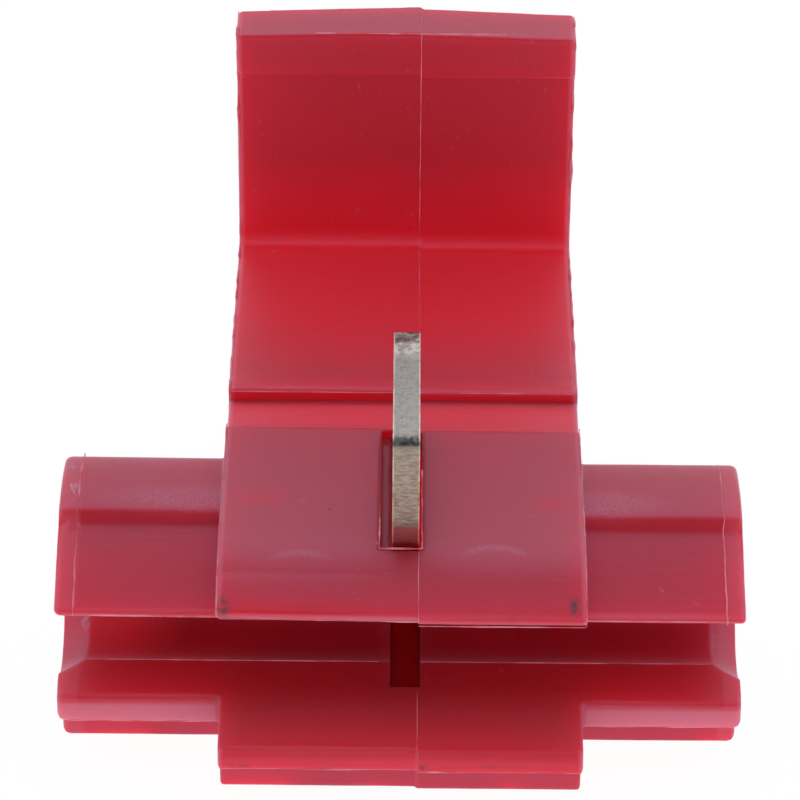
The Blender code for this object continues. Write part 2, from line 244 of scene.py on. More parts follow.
# Painted highlights and glow: paler colour along the block's lip and the run barrel's lip, over the shelf and
# the ledge, inside the left end of the mouth and in the slot
PAINTED_LIGHT_ZONES = (
    ((0.0, 0.05, 6.86), (12.0, 0.26, 0.22), 0.4),
    ((0.0, 1.75, 5.74), (24.0, 0.26, 0.22), 0.4),
    ((0.0, 0.7, 2.4), (16.0, 1.6, 0.9), 0.22),
    ((0.0, -0.5, 1.9), (14.0, 0.3, 0.3), 0.22),
    ((-8.6, 4.8, 3.8), (2.4, 1.8, 1.9), 0.16),
    ((0.0, 6.0, 3.8), (0.9, 5.5, 2.4), 0.14),
)
# Strength of the painted glow on the rounded ends of the block and the cover
RIM_GLOW_SHARE = 0.75
# A spot keeps its full strength out to this share of its size
SPOT_CORE = 0.4
NYLON_IOR = 1.53
NYLON_GLOSS_TINT = "B3CBFF"
NYLON_SHEEN_TINT = "D3DAFF"
CRESCENTS = (
    ((-3.0, 0.03), 1.92, (-3.0, 1.87, 7.85), (1.25, 0.42, 0.5)),
    ((2.75, 0.83), 1.42, (2.75, 2.1, 7.9), (1.35, 0.55, 0.5)),
)
CRESCENT_WIDTH = 0.2
SCUFFS = (
    ((-4.2, 4.7, BLOCK_HEIGHT), (1.1, 0.5, 0.5)),
    ((4.35, 4.5, BLOCK_HEIGHT), (0.9, 0.5, 0.5)),
)
SCUFF_PITCH = 0.17
# Painted highlight, grainy, on the tap barrels' crowns near the block; it also roughens the bump there
GRAINY_BARREL_HIGHLIGHTS = (
    ((-6.2, 5.4, 7.35), (3.4, 0.75, 0.7)),
    ((6.2, 5.3, 7.35), (2.2, 0.8, 0.7)),
)

# Living hinge: how full its rounded sides are, and how far it stays inside the block's ends
STRAP_ROUND_SHARE = 0.6
STRAP_SIDE_INSET = 0.02

# Flash, and the pale threads painted as highlights along the lips and edges: how far the threads sit inside the
# corners, which the skin rounds off, and how far some of them run
THREAD_SINK = 0.02
EDGE_SINK = 0.03
HOOK_SINK = 0.04
RUN_LIP_SINK = 0.05
LOWER_JAW_START = SLOT_FRONT - 0.15
SLOT_EDGE_RUN = 2.2
HOOK_FLASH_LEFT = -2.9
HOOK_FLASH_RIGHT = 3.2

ARC_STEPS = 24
CUT_MARGIN = 1.0
TRIANGLE_BUDGET = 190000

# Camera and lamp: places in millimetres, the lamp's sides in metres and its power in watts
CAMERA_STAND = (-0.1, SECTION_Y - 101.3, 81.63)
LAMP_STAND = (0.0, -100.0, 500.0)
LAMP_TARGET = (0.0, 0.0, 5.0)
LAMP_SIDES = (0.4, 0.2)
LAMP_POWER = 0.2
WHITE = (1.0, 1.0, 1.0, 1.0)

# The dim patch of the studio's ceiling, in degrees: how far it leans to the front, its half width and its blur
CEILING_LEAN = 14.0
CEILING_SPREAD = 32.0
CEILING_BLUR = 6.0


class WireTapMoulding(bpy.types.PropertyGroup):
    """Sizes and colours of the red mouldings."""

    skin_voxel: FloatProperty(
        name="Skin Grain", description="Edge length of the moulded skin's mesh, in millimetres", default=0.05,
        min=0.02, max=0.3)
    rounding: IntProperty(
        name="Edge Rounding", description="Smoothing passes over the skin, each of which softens the edges",
        default=7, min=0, max=40)
    sink_depth: FloatProperty(
        name="Sink Depth", description="Depth of the shallow hollows on the moulded faces, in millimetres",
        default=0.012, min=0.0, max=0.1)
    # Also the half width of the pale threads painted as highlights along the lips and the lower jaws' edges
    flash: FloatProperty(
        name="Flash", description="Half width of the plastic squeezed out at the partings, in millimetres",
        default=0.02, min=0.005, max=0.1)
    colour: StringProperty(
        name="Colour", description="Body colour of the plastic, as an sRGB hex value", default="DA1D2B")
    # Painted glow: this clearer red stands in for light coming through the thin plastic; the scuffs are laid in
    # it too
    painted_glow_and_scuff_colour: StringProperty(
        name="Glow Colour", description="Clearer red where light gathers inside, as an sRGB hex value",
        default="FF2030")
    # Painted highlights and glow: this paler colour lies along edges, lips, rims, the lower jaws' nose, the
    # barrels' crowns and thin ends, inside the mouth and the slot, as well as on the real pin marks and nicks
    pale_highlight_and_stress_colour: StringProperty(
        name="Worn Colour", description="Paler colour of flash and of rubbed edges, as an sRGB hex value",
        default="DE8497")
    # The flash's whitish colour, also laid on the pale threads painted as highlights along the lips, the lower
    # jaws' edges and the bead's foot
    flash_and_highlight_colour: StringProperty(
        name="Flash Colour", description="Whitish colour of the thinnest plastic, as an sRGB hex value",
        default="F0A6BC")
    dirt_colour: StringProperty(
        name="Dirt Colour", description="Colour of the grime in the corners, as an sRGB hex value",
        default="7C4642")
    roughness: FloatProperty(
        name="Roughness", description="Roughness of the satin skin", default=0.42, min=0.0, max=1.0,
        subtype="FACTOR")


class WireTapContact(bpy.types.PropertyGroup):
    """Sizes and colours of the stamped contact."""

    slots: IntProperty(name="Wire Slots", description="How many wires the plate grips", default=2, min=1, max=4)
    burr: FloatProperty(
        name="Burr", description="Depth of the tears on the sheared edge, in millimetres", default=0.02,
        min=0.0, max=0.1)
    colour: StringProperty(
        name="Colour", description="Colour of the tin plating, as an sRGB hex value", default="9F9C9A")
    sheared_colour: StringProperty(
        name="Sheared Colour", description="Colour of the brass on the sheared edge, as an sRGB hex value",
        default="B3A294")


class WireTapStage(bpy.types.PropertyGroup):
    """Light and camera."""

    lens: FloatProperty(
        name="Lens", description="Focal length on a 36 mm sensor, in millimetres", default=193.5, min=10.0,
        max=500.0)
    elevation: FloatProperty(
        name="Elevation", description="Camera height above the horizon", default=math.radians(33.5),
        subtype="ANGLE")
    roll: FloatProperty(
        name="Roll", description="Tilt of the camera about its own axis", default=math.radians(0.5),
        subtype="ANGLE")


def linear_colour(code):
    """An sRGB hex value as linear red, green, blue and alpha."""
    channels = [int(code[index:index + 2], 16) / 255 for index in (0, 2, 4)]
    return [c / 12.92 if c <= 0.04045 else ((c + 0.055) / 1.055) ** 2.4 for c in channels] + [1.0]


def fill_inputs(tree, node, inputs):
    """Give a node's inputs their values or links; another node stands for the first of its outputs in use."""
    for key, value in inputs.items():
        if isinstance(value, bpy.types.Node):
            value = next(socket for socket in value.outputs if socket.enabled)
        if isinstance(value, bpy.types.NodeSocket):
            tree.links.new(value, node.inputs[key])
        else:
            node.inputs[key].default_value = value
    return node


def add_node(tree, kind, inputs=None, **settings):
    """Add one node with its own settings, and fill its inputs."""
    node = tree.nodes.new(kind)
    for name, value in settings.items():
        setattr(node, name, value)
    return fill_inputs(tree, node, inputs or {})


def opened(point):
    """A section point of the closed cover, where it lies once the cover is turned open."""
    turn = -math.radians(COVER_TURN)
    y = point[0] - HINGE_Y
    z = point[1] - HINGE_Z
    return HINGE_Y + y * math.cos(turn) - z * math.sin(turn), HINGE_Z + y * math.sin(turn) + z * math.cos(turn)


def arc(center, radius, start, end, steps=ARC_STEPS):
    """Points on a circular arc, with its angles in degrees from +Y towards +Z."""
    points = []
    for index in range(steps + 1):
        angle = math.radians(start + (end - start) * index / steps)
        points.append((center[0] + radius * math.cos(angle), center[1] + radius * math.sin(angle)))
    return points


def line_meets_circle(height, slope, center, radius):
    """The front point where the line z = height + slope * y meets a circle."""
    a = 1 + slope ** 2
    b = slope * (height - center[1]) - center[0]
    c = center[0] ** 2 + (height - center[1]) ** 2 - radius ** 2
    y = (-b - math.sqrt(b * b - a * c)) / a
    return y, height + slope * y


def angle_on(center, point):
    return math.degrees(math.atan2(point[1] - center[1], point[0] - center[0])) % 360


def jaw_height(y):
    return JAW_HEIGHT + JAW_SLOPE * y


def shelf_height(y):
    return SHELF_HEIGHT + SHELF_SLOPE * (y - SHELF_FRONT)


def shrunk(outline, inset):
    """The outline moved inwards by the inset, with mitred corners."""
    area = sum(a[0] * b[1] - b[0] * a[1] for a, b in zip(outline, outline[1:] + outline[:1]))
    side = 1.0 if area > 0 else -1.0
    moved = []
    for index, point in enumerate(outline):
        before = Vector(point) - Vector(outline[index - 1])
        after = Vector(outline[(index + 1) % len(outline)]) - Vector(point)
        first = Vector((-before.y, before.x)).normalized() * side
        second = Vector((-after.y, after.x)).normalized() * side
        miter = first + second
        moved.append(tuple(Vector(point) + miter * (inset * 2 / max(miter.length_squared, 1.0))))
    return moved


def shifted(outline, forward, down):
    return [(y - forward, z - down) for y, z in outline]


def to_object(name, mesh):
    data = bpy.data.meshes.new(name)
    mesh.to_mesh(data)
    mesh.free()
    thing = bpy.data.objects.new(name, data)
    bpy.context.scene.collection.objects.link(thing)
    return thing


def skinned(name, rings):
    """One closed body through rings of points, as many in each ring."""
    mesh = bmesh.new()
    rings = [[mesh.verts.new(point) for point in ring] for ring in rings]
    mesh.faces.new(rings[0])
    mesh.faces.new(list(reversed(rings[-1])))
    count = len(rings[0])
    for near, far in zip(rings, rings[1:]):
        for index in range(count):
            after = (index + 1) % count
            mesh.faces.new((near[index], near[after], far[after], far[index]))
    bmesh.ops.recalc_face_normals(mesh, faces=mesh.faces)
    return to_object(name, mesh)


def loft(name, stations):
    """One closed body through section outlines of equal length, each standing at its own x."""
    return skinned(name, [[(x, SECTION_Y + y, z) for y, z in outline] for x, outline in stations])


def prism(name, outline, left, right):
    return loft(name, [(left, outline), (right, outline)])


def box(name, low, high):
    """A box between two corners given as x, section y and z."""
    outline = [(low[1], low[2]), (high[1], low[2]), (high[1], high[2]), (low[1], high[2])]
    return prism(name, outline, low[0], high[0])


def bore_rod(name, center, profile):
    """A turned rod along X, from pairs of x and radius."""
    stations = []
    for x, radius in profile:
        stations.append((x, arc(center, radius, 0, 360 - 360 / (3 * ARC_STEPS), 3 * ARC_STEPS - 1)))
    return loft(name, stations)


def evaluated_mesh(thing):
    """The object's mesh with its modifiers worked out."""
    bpy.context.view_layer.update()
    found = thing.evaluated_get(bpy.context.evaluated_depsgraph_get())
    return bpy.data.meshes.new_from_object(found)


def settle(thing):
    """Keep the shape that the modifiers make, and remove them."""
    result = evaluated_mesh(thing)
    thing.modifiers.clear()
    thing.data = result
    return thing


def combine(target, tool, operation):
    """Apply one exact Boolean and remove the tool body."""
    modifier = target.modifiers.new(operation.title(), "BOOLEAN")
    modifier.operation = operation
    modifier.object = tool
    settle(target)
    bpy.data.objects.remove(tool)
    return target


def add_bodies(target, bodies):
    """Put closed bodies into the target's mesh as they are; the skin melts them together."""
    mesh = bmesh.new()
    mesh.from_mesh(target.data)
    for body in bodies:
        mesh.from_mesh(body.data)
        bpy.data.objects.remove(body)
    mesh.to_mesh(target.data)
    mesh.free()


def ripple(thing, depth, grain):
    """Move the skin in and out by a few hundredths of a millimetre, as cooling plastic sinks."""
    normals = [normal.vector.copy() for normal in thing.data.vertex_normals]
    for vert, normal in zip(thing.data.vertices, normals):
        wave = noise.noise(vert.co * 0.31) + 0.3 * noise.noise(vert.co * 1.3)
        vert.co += normal * (depth * wave + grain * noise.noise(vert.co * 5.0))


def moulded_skin(thing, moulding, budget=TRIANGLE_BUDGET):
    """Turn a hard-edged body into one closed skin with soft edges, at most so many triangles."""
    voxel = moulding.skin_voxel * 1.0
    remesh = thing.modifiers.new("Skin", "REMESH")
    remesh.mode = "VOXEL"
    remesh.voxel_size = voxel
    soften = thing.modifiers.new("Rounding", "SMOOTH")
    soften.factor = 0.5
    soften.iterations = moulding.rounding
    settle(thing)
    ripple(thing, moulding.sink_depth, moulding.sink_depth * 0.1)
    triangles = 2 * len(thing.data.polygons)
    if triangles > budget:
        lean = thing.modifiers.new("Lean", "DECIMATE")
        lean.ratio = budget / triangles
        settle(thing)
    thing.data.shade_smooth()
    return thing


def to_metres(thing):
    """Bring a piece from millimetres to metres, with its place in its mesh."""
    thing.data.transform(Matrix.Scale(MM, 4))
    thing.data.update()
    return thing


def dress(thing, material):
    thing.data.materials.clear()
    thing.data.materials.append(material)
    return thing


def block_outline():
    """Section of the central block, drawn solid across the mouth."""
    shoulder = (SHOULDER_START, BLOCK_HEIGHT - SHOULDER_RADIUS)
    sweep = math.degrees(math.acos(-SHOULDER_START / SHOULDER_RADIUS))
    crest = (BLOCK_BACK - BACK_CREST_RADIUS, BLOCK_HEIGHT - BACK_CREST_RADIUS)
    outline = [(RISER_FRONT, 0.0), (BLOCK_BACK, 0.0)]
    outline += arc(crest, BACK_CREST_RADIUS, 0, 90, 6)
    outline += arc(shoulder, SHOULDER_RADIUS, 90, sweep, 2 * ARC_STEPS)
    outline.append((0.0, (jaw_height(0.0) + shelf_height(0.0)) / 2))
    outline.append((SHELF_FRONT, shelf_height(SHELF_FRONT)))
    outline.append((LEDGE_FRONT, LEDGE_HEIGHT))
    outline.append((RISER_FRONT, LEDGE_HEIGHT - LEDGE_FALL))
    return outline


def arc_into_back():
    """Where the tap barrel's flat crown hands over to its tighter back arc: that arc's centre and the angle."""
    reach = TAP_CROWN_RADIUS - BARREL_BACK_RADIUS
    turn = math.acos((BARREL_BACK - BARREL_BACK_RADIUS - TAP_CROWN_Y) / reach)
    center = (BARREL_BACK - BARREL_BACK_RADIUS, TAP_CROWN_Z + reach * math.sin(turn))
    return center, math.degrees(turn)


def rounded_corner(before, corner, after, radius, steps=6):
    """An arc that rounds the corner between two straight stretches."""
    first = (Vector(before) - Vector(corner)).normalized()
    second = (Vector(after) - Vector(corner)).normalized()
    half = first.angle(second) / 2
    center = Vector(corner) + (first + second).normalized() * (radius / math.sin(half))
    start = Vector(corner) + first * (radius / math.tan(half)) - center
    end = Vector(corner) + second * (radius / math.tan(half)) - center
    points = []
    for index in range(steps + 1):
        along = start.lerp(end, index / steps)
        points.append(tuple(center + along.normalized() * radius))
    return points


def run_top(y):
    """Height of the run barrel's slightly arched upper side, which falls towards the lip."""
    reach = y - RUN_LIP_Y
    return jaw_height(RUN_LIP_Y) + RUN_TOP_SLOPE * reach - RUN_TOP_BEND * reach ** 2


def barrel_crown():
    """The barrels' upper side, from the back over the tap barrel and its step to the run barrel's lip."""
    center, turn = arc_into_back()
    edge_turn = 180 - TAP_EDGE_ANGLE
    crown = arc(center, BARREL_BACK_RADIUS, 0, turn, ARC_STEPS)
    crown += arc((TAP_CROWN_Y, TAP_CROWN_Z), TAP_CROWN_RADIUS, turn, edge_turn - 2.5, ARC_STEPS)[1:]
    edge = arc((TAP_CROWN_Y, TAP_CROWN_Z), TAP_CROWN_RADIUS, edge_turn, edge_turn, 1)[0]
    foot = (edge[0] - STEP_RUN, run_top(edge[0] - STEP_RUN))
    lip = (RUN_LIP_Y, jaw_height(RUN_LIP_Y))
    under = (RUN_LIP_Y + 1.0, jaw_height(RUN_LIP_Y + 1.0))
    spaced = [foot[0] + (lip[0] - foot[0]) * index / 12 for index in range(1, 12)]
    arched = [(y, run_top(y)) for y in spaced]
    crown += rounded_corner(crown[-1], edge, foot, STEP_ROUND)
    crown += rounded_corner(edge, foot, arched[0], STEP_ROUND)
    crown += arched[1:-1]
    crown += rounded_corner(arched[-1], lip, under, LIP_ROUND)
    return crown


def barrel_outline():
    """Section of the twin barrels, drawn solid across the mouth."""
    nose = (NOSE_FRONT + NOSE_RADIUS, shelf_height(NOSE_FRONT + NOSE_RADIUS) - NOSE_RADIUS)
    outline = [(KEEL_FRONT, 0.0), (BARREL_BACK - BARREL_HEEL, 0.0), (BARREL_BACK, BARREL_HEEL)]
    outline += barrel_crown()
    outline.append((RUN_Y, RUN_Z))
    outline += arc(nose, NOSE_RADIUS, 90, 180, 10)
    outline += [(NOSE_FRONT, NOSE_BOTTOM), (KEEL_FRONT, NOSE_BOTTOM)]
    return outline


def mouth_outline():
    """The open mouth and the run channel, as one cutter section."""
    center = (RUN_Y, RUN_Z)
    upper = line_meets_circle(JAW_HEIGHT, JAW_SLOPE, center, RUN_RADIUS)
    lower = line_meets_circle(SHELF_HEIGHT - SHELF_SLOPE * SHELF_FRONT, SHELF_SLOPE, center, RUN_RADIUS)
    front = LEDGE_FRONT - MOUTH_REACH
    outline = [(front, shelf_height(front))]
    outline += arc(center, RUN_RADIUS, angle_on(center, lower) - 360, angle_on(center, upper), 3 * ARC_STEPS)
    outline.append((front, jaw_height(front)))
    return outline


def collar_outline():
    """Fills part of the step at each end, where the barrels are closed by a collar."""
    edge = arc((TAP_CROWN_Y, TAP_CROWN_Z), TAP_CROWN_RADIUS, 180 - TAP_EDGE_ANGLE, 180 - TAP_EDGE_ANGLE, 1)[0]
    front = edge[0] - STEP_RUN - COLLAR_FILL
    back = edge[0] + COLLAR_BACK
    foot = run_top(front) - COLLAR_DEPTH
    return [(front, foot), (back, foot), (back, edge[1] - 0.02), (edge[0], edge[1] - 0.1),
            (front, run_top(front))]


def cover_outline(inset):
    """Section of the cover, drawn closed: a plate over the block, then a wall with the latch hook."""
    near = 2 * HINGE_Y - (COVER_LOW.y - SECTION_Y)
    inner = BLOCK_HEIGHT + COVER_CLEARANCE
    outer = inner + COVER_PLATE_THICKNESS - inset
    wall_inner = LEDGE_FRONT - COVER_WALL_GAP
    wall_outer = wall_inner - COVER_WALL_THICKNESS + inset
    nose = wall_inner + HOOK_REACH
    catch = LEDGE_HEIGHT - LATCH_CLEARANCE
    tip = catch - HOOK_HEIGHT + inset
    bead = inner - COVER_BEAD_HEIGHT
    outline = [(near, outer)]
    outer_corner = (wall_outer + COVER_OUTER_RADIUS, outer - COVER_OUTER_RADIUS)
    inner_corner = (wall_inner + COVER_CORNER_FILLET, inner - COVER_CORNER_FILLET)
    outline += arc(outer_corner, COVER_OUTER_RADIUS, 90, 180, 16)
    outline += [(wall_outer, tip + HOOK_ROUND), (wall_outer + HOOK_ROUND, tip)]
    outline += [(nose - HOOK_ROUND, tip), (nose, tip + HOOK_ROUND)]
    outline += [(nose, catch), (wall_inner, catch + HOOK_CATCH_FALL)]
    outline += arc(inner_corner, COVER_CORNER_FILLET, 180, 90, 12)
    outline += [(near - COVER_BEAD_WIDTH, inner), (near - COVER_BEAD_WIDTH / 2, bead)]
    outline += arc((near - COVER_BEAD_ROUND, bead + COVER_BEAD_ROUND), COVER_BEAD_ROUND, 270, 360, 6)
    return [opened(point) for point in outline]


def end_stations(end, radius, outline, steps=6):
    """Stations that round a loft off towards its end, the last of them on the end face."""
    side = 1 if end > 0 else -1
    stations = []
    for index in range(steps + 1):
        angle = math.pi / 2 * index / steps
        x = end - side * radius * (1 - math.sin(angle))
        stations.append((x, shrunk(outline, radius * (1 - math.cos(angle)))))
    return stations


def mismatched_loft(name, outline, half, radius, forward, reach=0.0):
    """A body along X with rounded ends: its right half stands forward, its left end may reach further."""
    left = end_stations(-half - reach, radius, outline)
    right = end_stations(half, radius, shifted(outline, forward, 0.0))
    middle = [(PARTING_X, outline), (PARTING_X + STEP_LENGTH, shifted(outline, forward, 0.0))]
    return loft(name, list(reversed(left)) + middle + right)


def ramp(value, start, end):
    """How far a value has come from the start (0) to the end (1)."""
    return min(max((value - start) / (end - start), 0.0), 1.0)


def warp(x, y, z):
    """How far the upper jaw's left half has warped upwards, most of all at its far end and its lip."""
    left = ramp(x, PARTING_X + STEP_LENGTH, PARTING_X)
    lip = (WARP_STEP + WARP_LIP_SLOPE * abs(x)) * ramp(y, 1.2, 0.3)
    rise = WARP_SLOPE * abs(x) + lip
    return left * rise * ramp(z, WARP_LOW, WARP_HIGH)


def warped(path):
    return [(x, y, z + warp(x, y, z)) for x, y, z in path]


def run_flare(side):
    """Funnel at one end of the run channel."""
    slope = (RUN_FLARE_RADIUS - RUN_RADIUS) / RUN_FLARE_LENGTH
    margin = CUT_MARGIN / 4
    end = HOUSING_HALF + (LEFT_REACH if side < 0 else 0.0)
    inner = (side * (end - RUN_FLARE_LENGTH - margin), RUN_RADIUS - slope * margin)
    outer = (side * (end + margin), RUN_FLARE_RADIUS + slope * margin)
    return bore_rod("run_flare", (RUN_Y, RUN_Z), [inner, outer])


def tap_bore():
    """Blind bore for the tap wire, with a lead-in at its open end."""
    mouth = HOUSING_HALF - TAP_FLARE_LENGTH
    profile = [(TAP_STOP_X, TAP_RADIUS), (mouth, TAP_RADIUS), (HOUSING_HALF, TAP_FLARE_RADIUS),
               (HOUSING_HALF + CUT_MARGIN, TAP_FLARE_RADIUS)]
    return bore_rod("tap_bore", (TAP_Y, TAP_Z), profile)


def slot_cutters():
    """The contact's own slot, and the wider one above it."""
    top = BLOCK_HEIGHT + CUT_MARGIN
    narrow = box("slot", (CONTACT_LOW.x - SLOT_SIDE_FIT, SLOT_FRONT, SLOT_FLOOR),
                 (CONTACT_HIGH.x + SLOT_SIDE_WEAR, SLOT_BACK, top))
    wide = box("wide_slot", (WIDE_SLOT_LEFT, SLOT_FRONT, WIDE_SLOT_FLOOR), (WIDE_SLOT_RIGHT, SLOT_BACK, top))
    return [narrow, wide]


def housing_body():
    """The housing with hard edges: barrels, collars and block, less the mouth, the bores and the slot."""
    body = mismatched_loft("housing_moulding", barrel_outline(), HOUSING_HALF, BARREL_END_ROUND,
                           HOUSING_MISMATCH, LEFT_REACH)
    inner = HOUSING_HALF - COLLAR_LENGTH
    outer = HOUSING_HALF - BARREL_END_ROUND
    for near, far in ((-outer, -inner), (inner, outer)):
        combine(body, prism("collar", collar_outline(), near, far), "UNION")
    middle = mismatched_loft("block", block_outline(), BLOCK_HALF, BLOCK_END_ROUND, HOUSING_MISMATCH)
    combine(body, middle, "UNION")
    reach = HOUSING_HALF + CUT_MARGIN
    cutters = [prism("mouth", mouth_outline(), -reach, reach), run_flare(-1), run_flare(1), tap_bore()]
    for cutter in cutters + slot_cutters():
        combine(body, cutter, "DIFFERENCE")
    return body


def cover_body():
    """The cover with hard edges, drafted from the parting plane to both ends."""
    taper = math.tan(math.radians(COVER_DRAFT))
    left = end_stations(-BLOCK_HALF, COVER_END_ROUND, cover_outline((BLOCK_HALF + PARTING_X) * taper))
    right_outline = shifted(cover_outline((BLOCK_HALF - PARTING_X) * taper), 0.0, COVER_MISMATCH)
    right = end_stations(BLOCK_HALF, COVER_END_ROUND, right_outline)
    whole = cover_outline(0.0)
    middle = [(PARTING_X, whole), (PARTING_X + STEP_LENGTH, shifted(whole, 0.0, COVER_MISMATCH))]
    return loft("cover_moulding", list(reversed(left)) + middle + right)


def new_material(name):
    """A material with its node tree and its shader."""
    material = bpy.data.materials.new(name)
    material.use_nodes = True
    return material, material.node_tree, material.node_tree.nodes["Principled BSDF"]


def shaded(colour, share):
    return [channel * share for channel in colour[:3]] + [1.0]


def object_mm(tree):
    """Object coordinates in millimetres."""
    place = add_node(tree, "ShaderNodeTexCoord").outputs["Object"]
    return add_node(tree, "ShaderNodeVectorMath", {0: place, 1: (1 / MM,) * 3}, operation="MULTIPLY")


def merged(tree, masks, operation="MAXIMUM"):
    """Several masks as one: the strongest of them at each point, or their product."""
    whole = masks[0]
    for mask in masks[1:]:
        whole = add_node(tree, "ShaderNodeMath", {0: whole, 1: mask}, operation=operation)
    return whole


def ramps(tree, *ranges):
    """The product of ramps, each from 0 where its value is at the start to 1 where it is at the end."""
    return merged(tree, [
        add_node(tree, "ShaderNodeMapRange", {"Value": value, "From Min": start, "From Max": end})
        for value, start, end in ranges], "MULTIPLY")


def layered(tree, base, *layers):
    """Colours laid over a base, each as a mask and the colour that shows where the mask is 1."""
    for mask, colour in layers:
        base = add_node(tree, "ShaderNodeMix", {"Factor": mask, 6: base, 7: colour}, data_type="RGBA")
    return base


def soft_spot(tree, place, center, size, share=1.0):
    """A mask that reaches its share in the middle of an ellipsoid and fades to 0 at its surface."""
    middle = (center[0], SECTION_Y + center[1], center[2])
    offset = add_node(tree, "ShaderNodeVectorMath", {0: place, 1: middle}, operation="SUBTRACT")
    scaled = add_node(tree, "ShaderNodeVectorMath", {0: offset, 1: size}, operation="DIVIDE")
    reach = add_node(tree, "ShaderNodeVectorMath", {0: scaled}, operation="LENGTH")
    return add_node(tree, "ShaderNodeMapRange", {"Value": reach, "From Min": 1.0, "From Max": SPOT_CORE,
                                                 "To Max": share})


def spot_mask(tree, place, spots):
    return merged(tree, [soft_spot(tree, place, *spot) for spot in spots])


def broken_up(tree, mask, place, scale, low, high):
    """A mask broken up by noise of so many grains to the millimetre, with its edge between the two levels."""
    grains = add_node(tree, "ShaderNodeTexNoise", {"Vector": place, "Scale": scale, "Detail": 3.0})
    return merged(tree, [mask, ramps(tree, (grains, low, high))], "MULTIPLY")


def crescent_mask(tree, place, center, radius, middle, size):
    """A pale arc left by an ejector pin, kept to the stretch round its middle."""
    flat = add_node(tree, "ShaderNodeVectorMath", {0: place, 1: (1.0, 1.0, 0.0)}, operation="MULTIPLY")
    hub = (center[0], SECTION_Y + center[1], 0.0)
    reach = add_node(tree, "ShaderNodeVectorMath", {0: flat, 1: hub}, operation="DISTANCE")
    off = add_node(tree, "ShaderNodeMath", {0: reach, 1: radius}, operation="SUBTRACT")
    away = add_node(tree, "ShaderNodeMath", {0: off}, operation="ABSOLUTE")
    ring = ramps(tree, (away, CRESCENT_WIDTH, 0.0))
    return merged(tree, [ring, soft_spot(tree, place, middle, size)], "MULTIPLY")


def nose_highlight_mask(tree, axes, wide):
    """Painted highlight on the front face of the two lower jaws beside the block, palest along its lower edge.
    """
    front = SECTION_Y + NOSE_FRONT
    fade = add_node(tree, "ShaderNodeMapRange", {"Value": axes["Z"], "From Min": NOSE_BOTTOM,
                                                 "From Max": NOSE_BOTTOM + 0.6, "To Min": 1.0, "To Max": 0.7})
    face = ramps(tree, (wide, BLOCK_HALF, BLOCK_HALF + 0.2), (axes["Y"], front + 0.12, front + 0.02),
                 (axes["Z"], NOSE_BOTTOM - 0.1, NOSE_BOTTOM - 0.05),
                 (axes["Z"], NOSE_BOTTOM + 0.75, NOSE_BOTTOM + 0.6))
    return merged(tree, [fade, face], "MULTIPLY")


def rim_glow_mask(tree, axes, wide):
    """Painted glow on the rounded edges at both ends of the block and the cover, standing in for light that
    comes through.
    """
    rise = add_node(tree, "ShaderNodeMapRange", {"Value": wide, "From Min": BLOCK_HALF - 0.22,
                                                 "From Max": BLOCK_HALF - 0.02, "To Max": RIM_GLOW_SHARE})
    inside, above, ahead = [
        add_node(tree, "ShaderNodeMath", {0: value, 1: limit}, operation=side) for value, limit, side in (
            (wide, BLOCK_HALF + 0.03, "LESS_THAN"), (axes["Z"], jaw_height(0.0) - 0.1, "GREATER_THAN"),
            (axes["Y"], SECTION_Y + SHELF_FRONT, "LESS_THAN"))]
    return merged(tree, [rise, inside, merged(tree, [above, ahead])], "MULTIPLY")


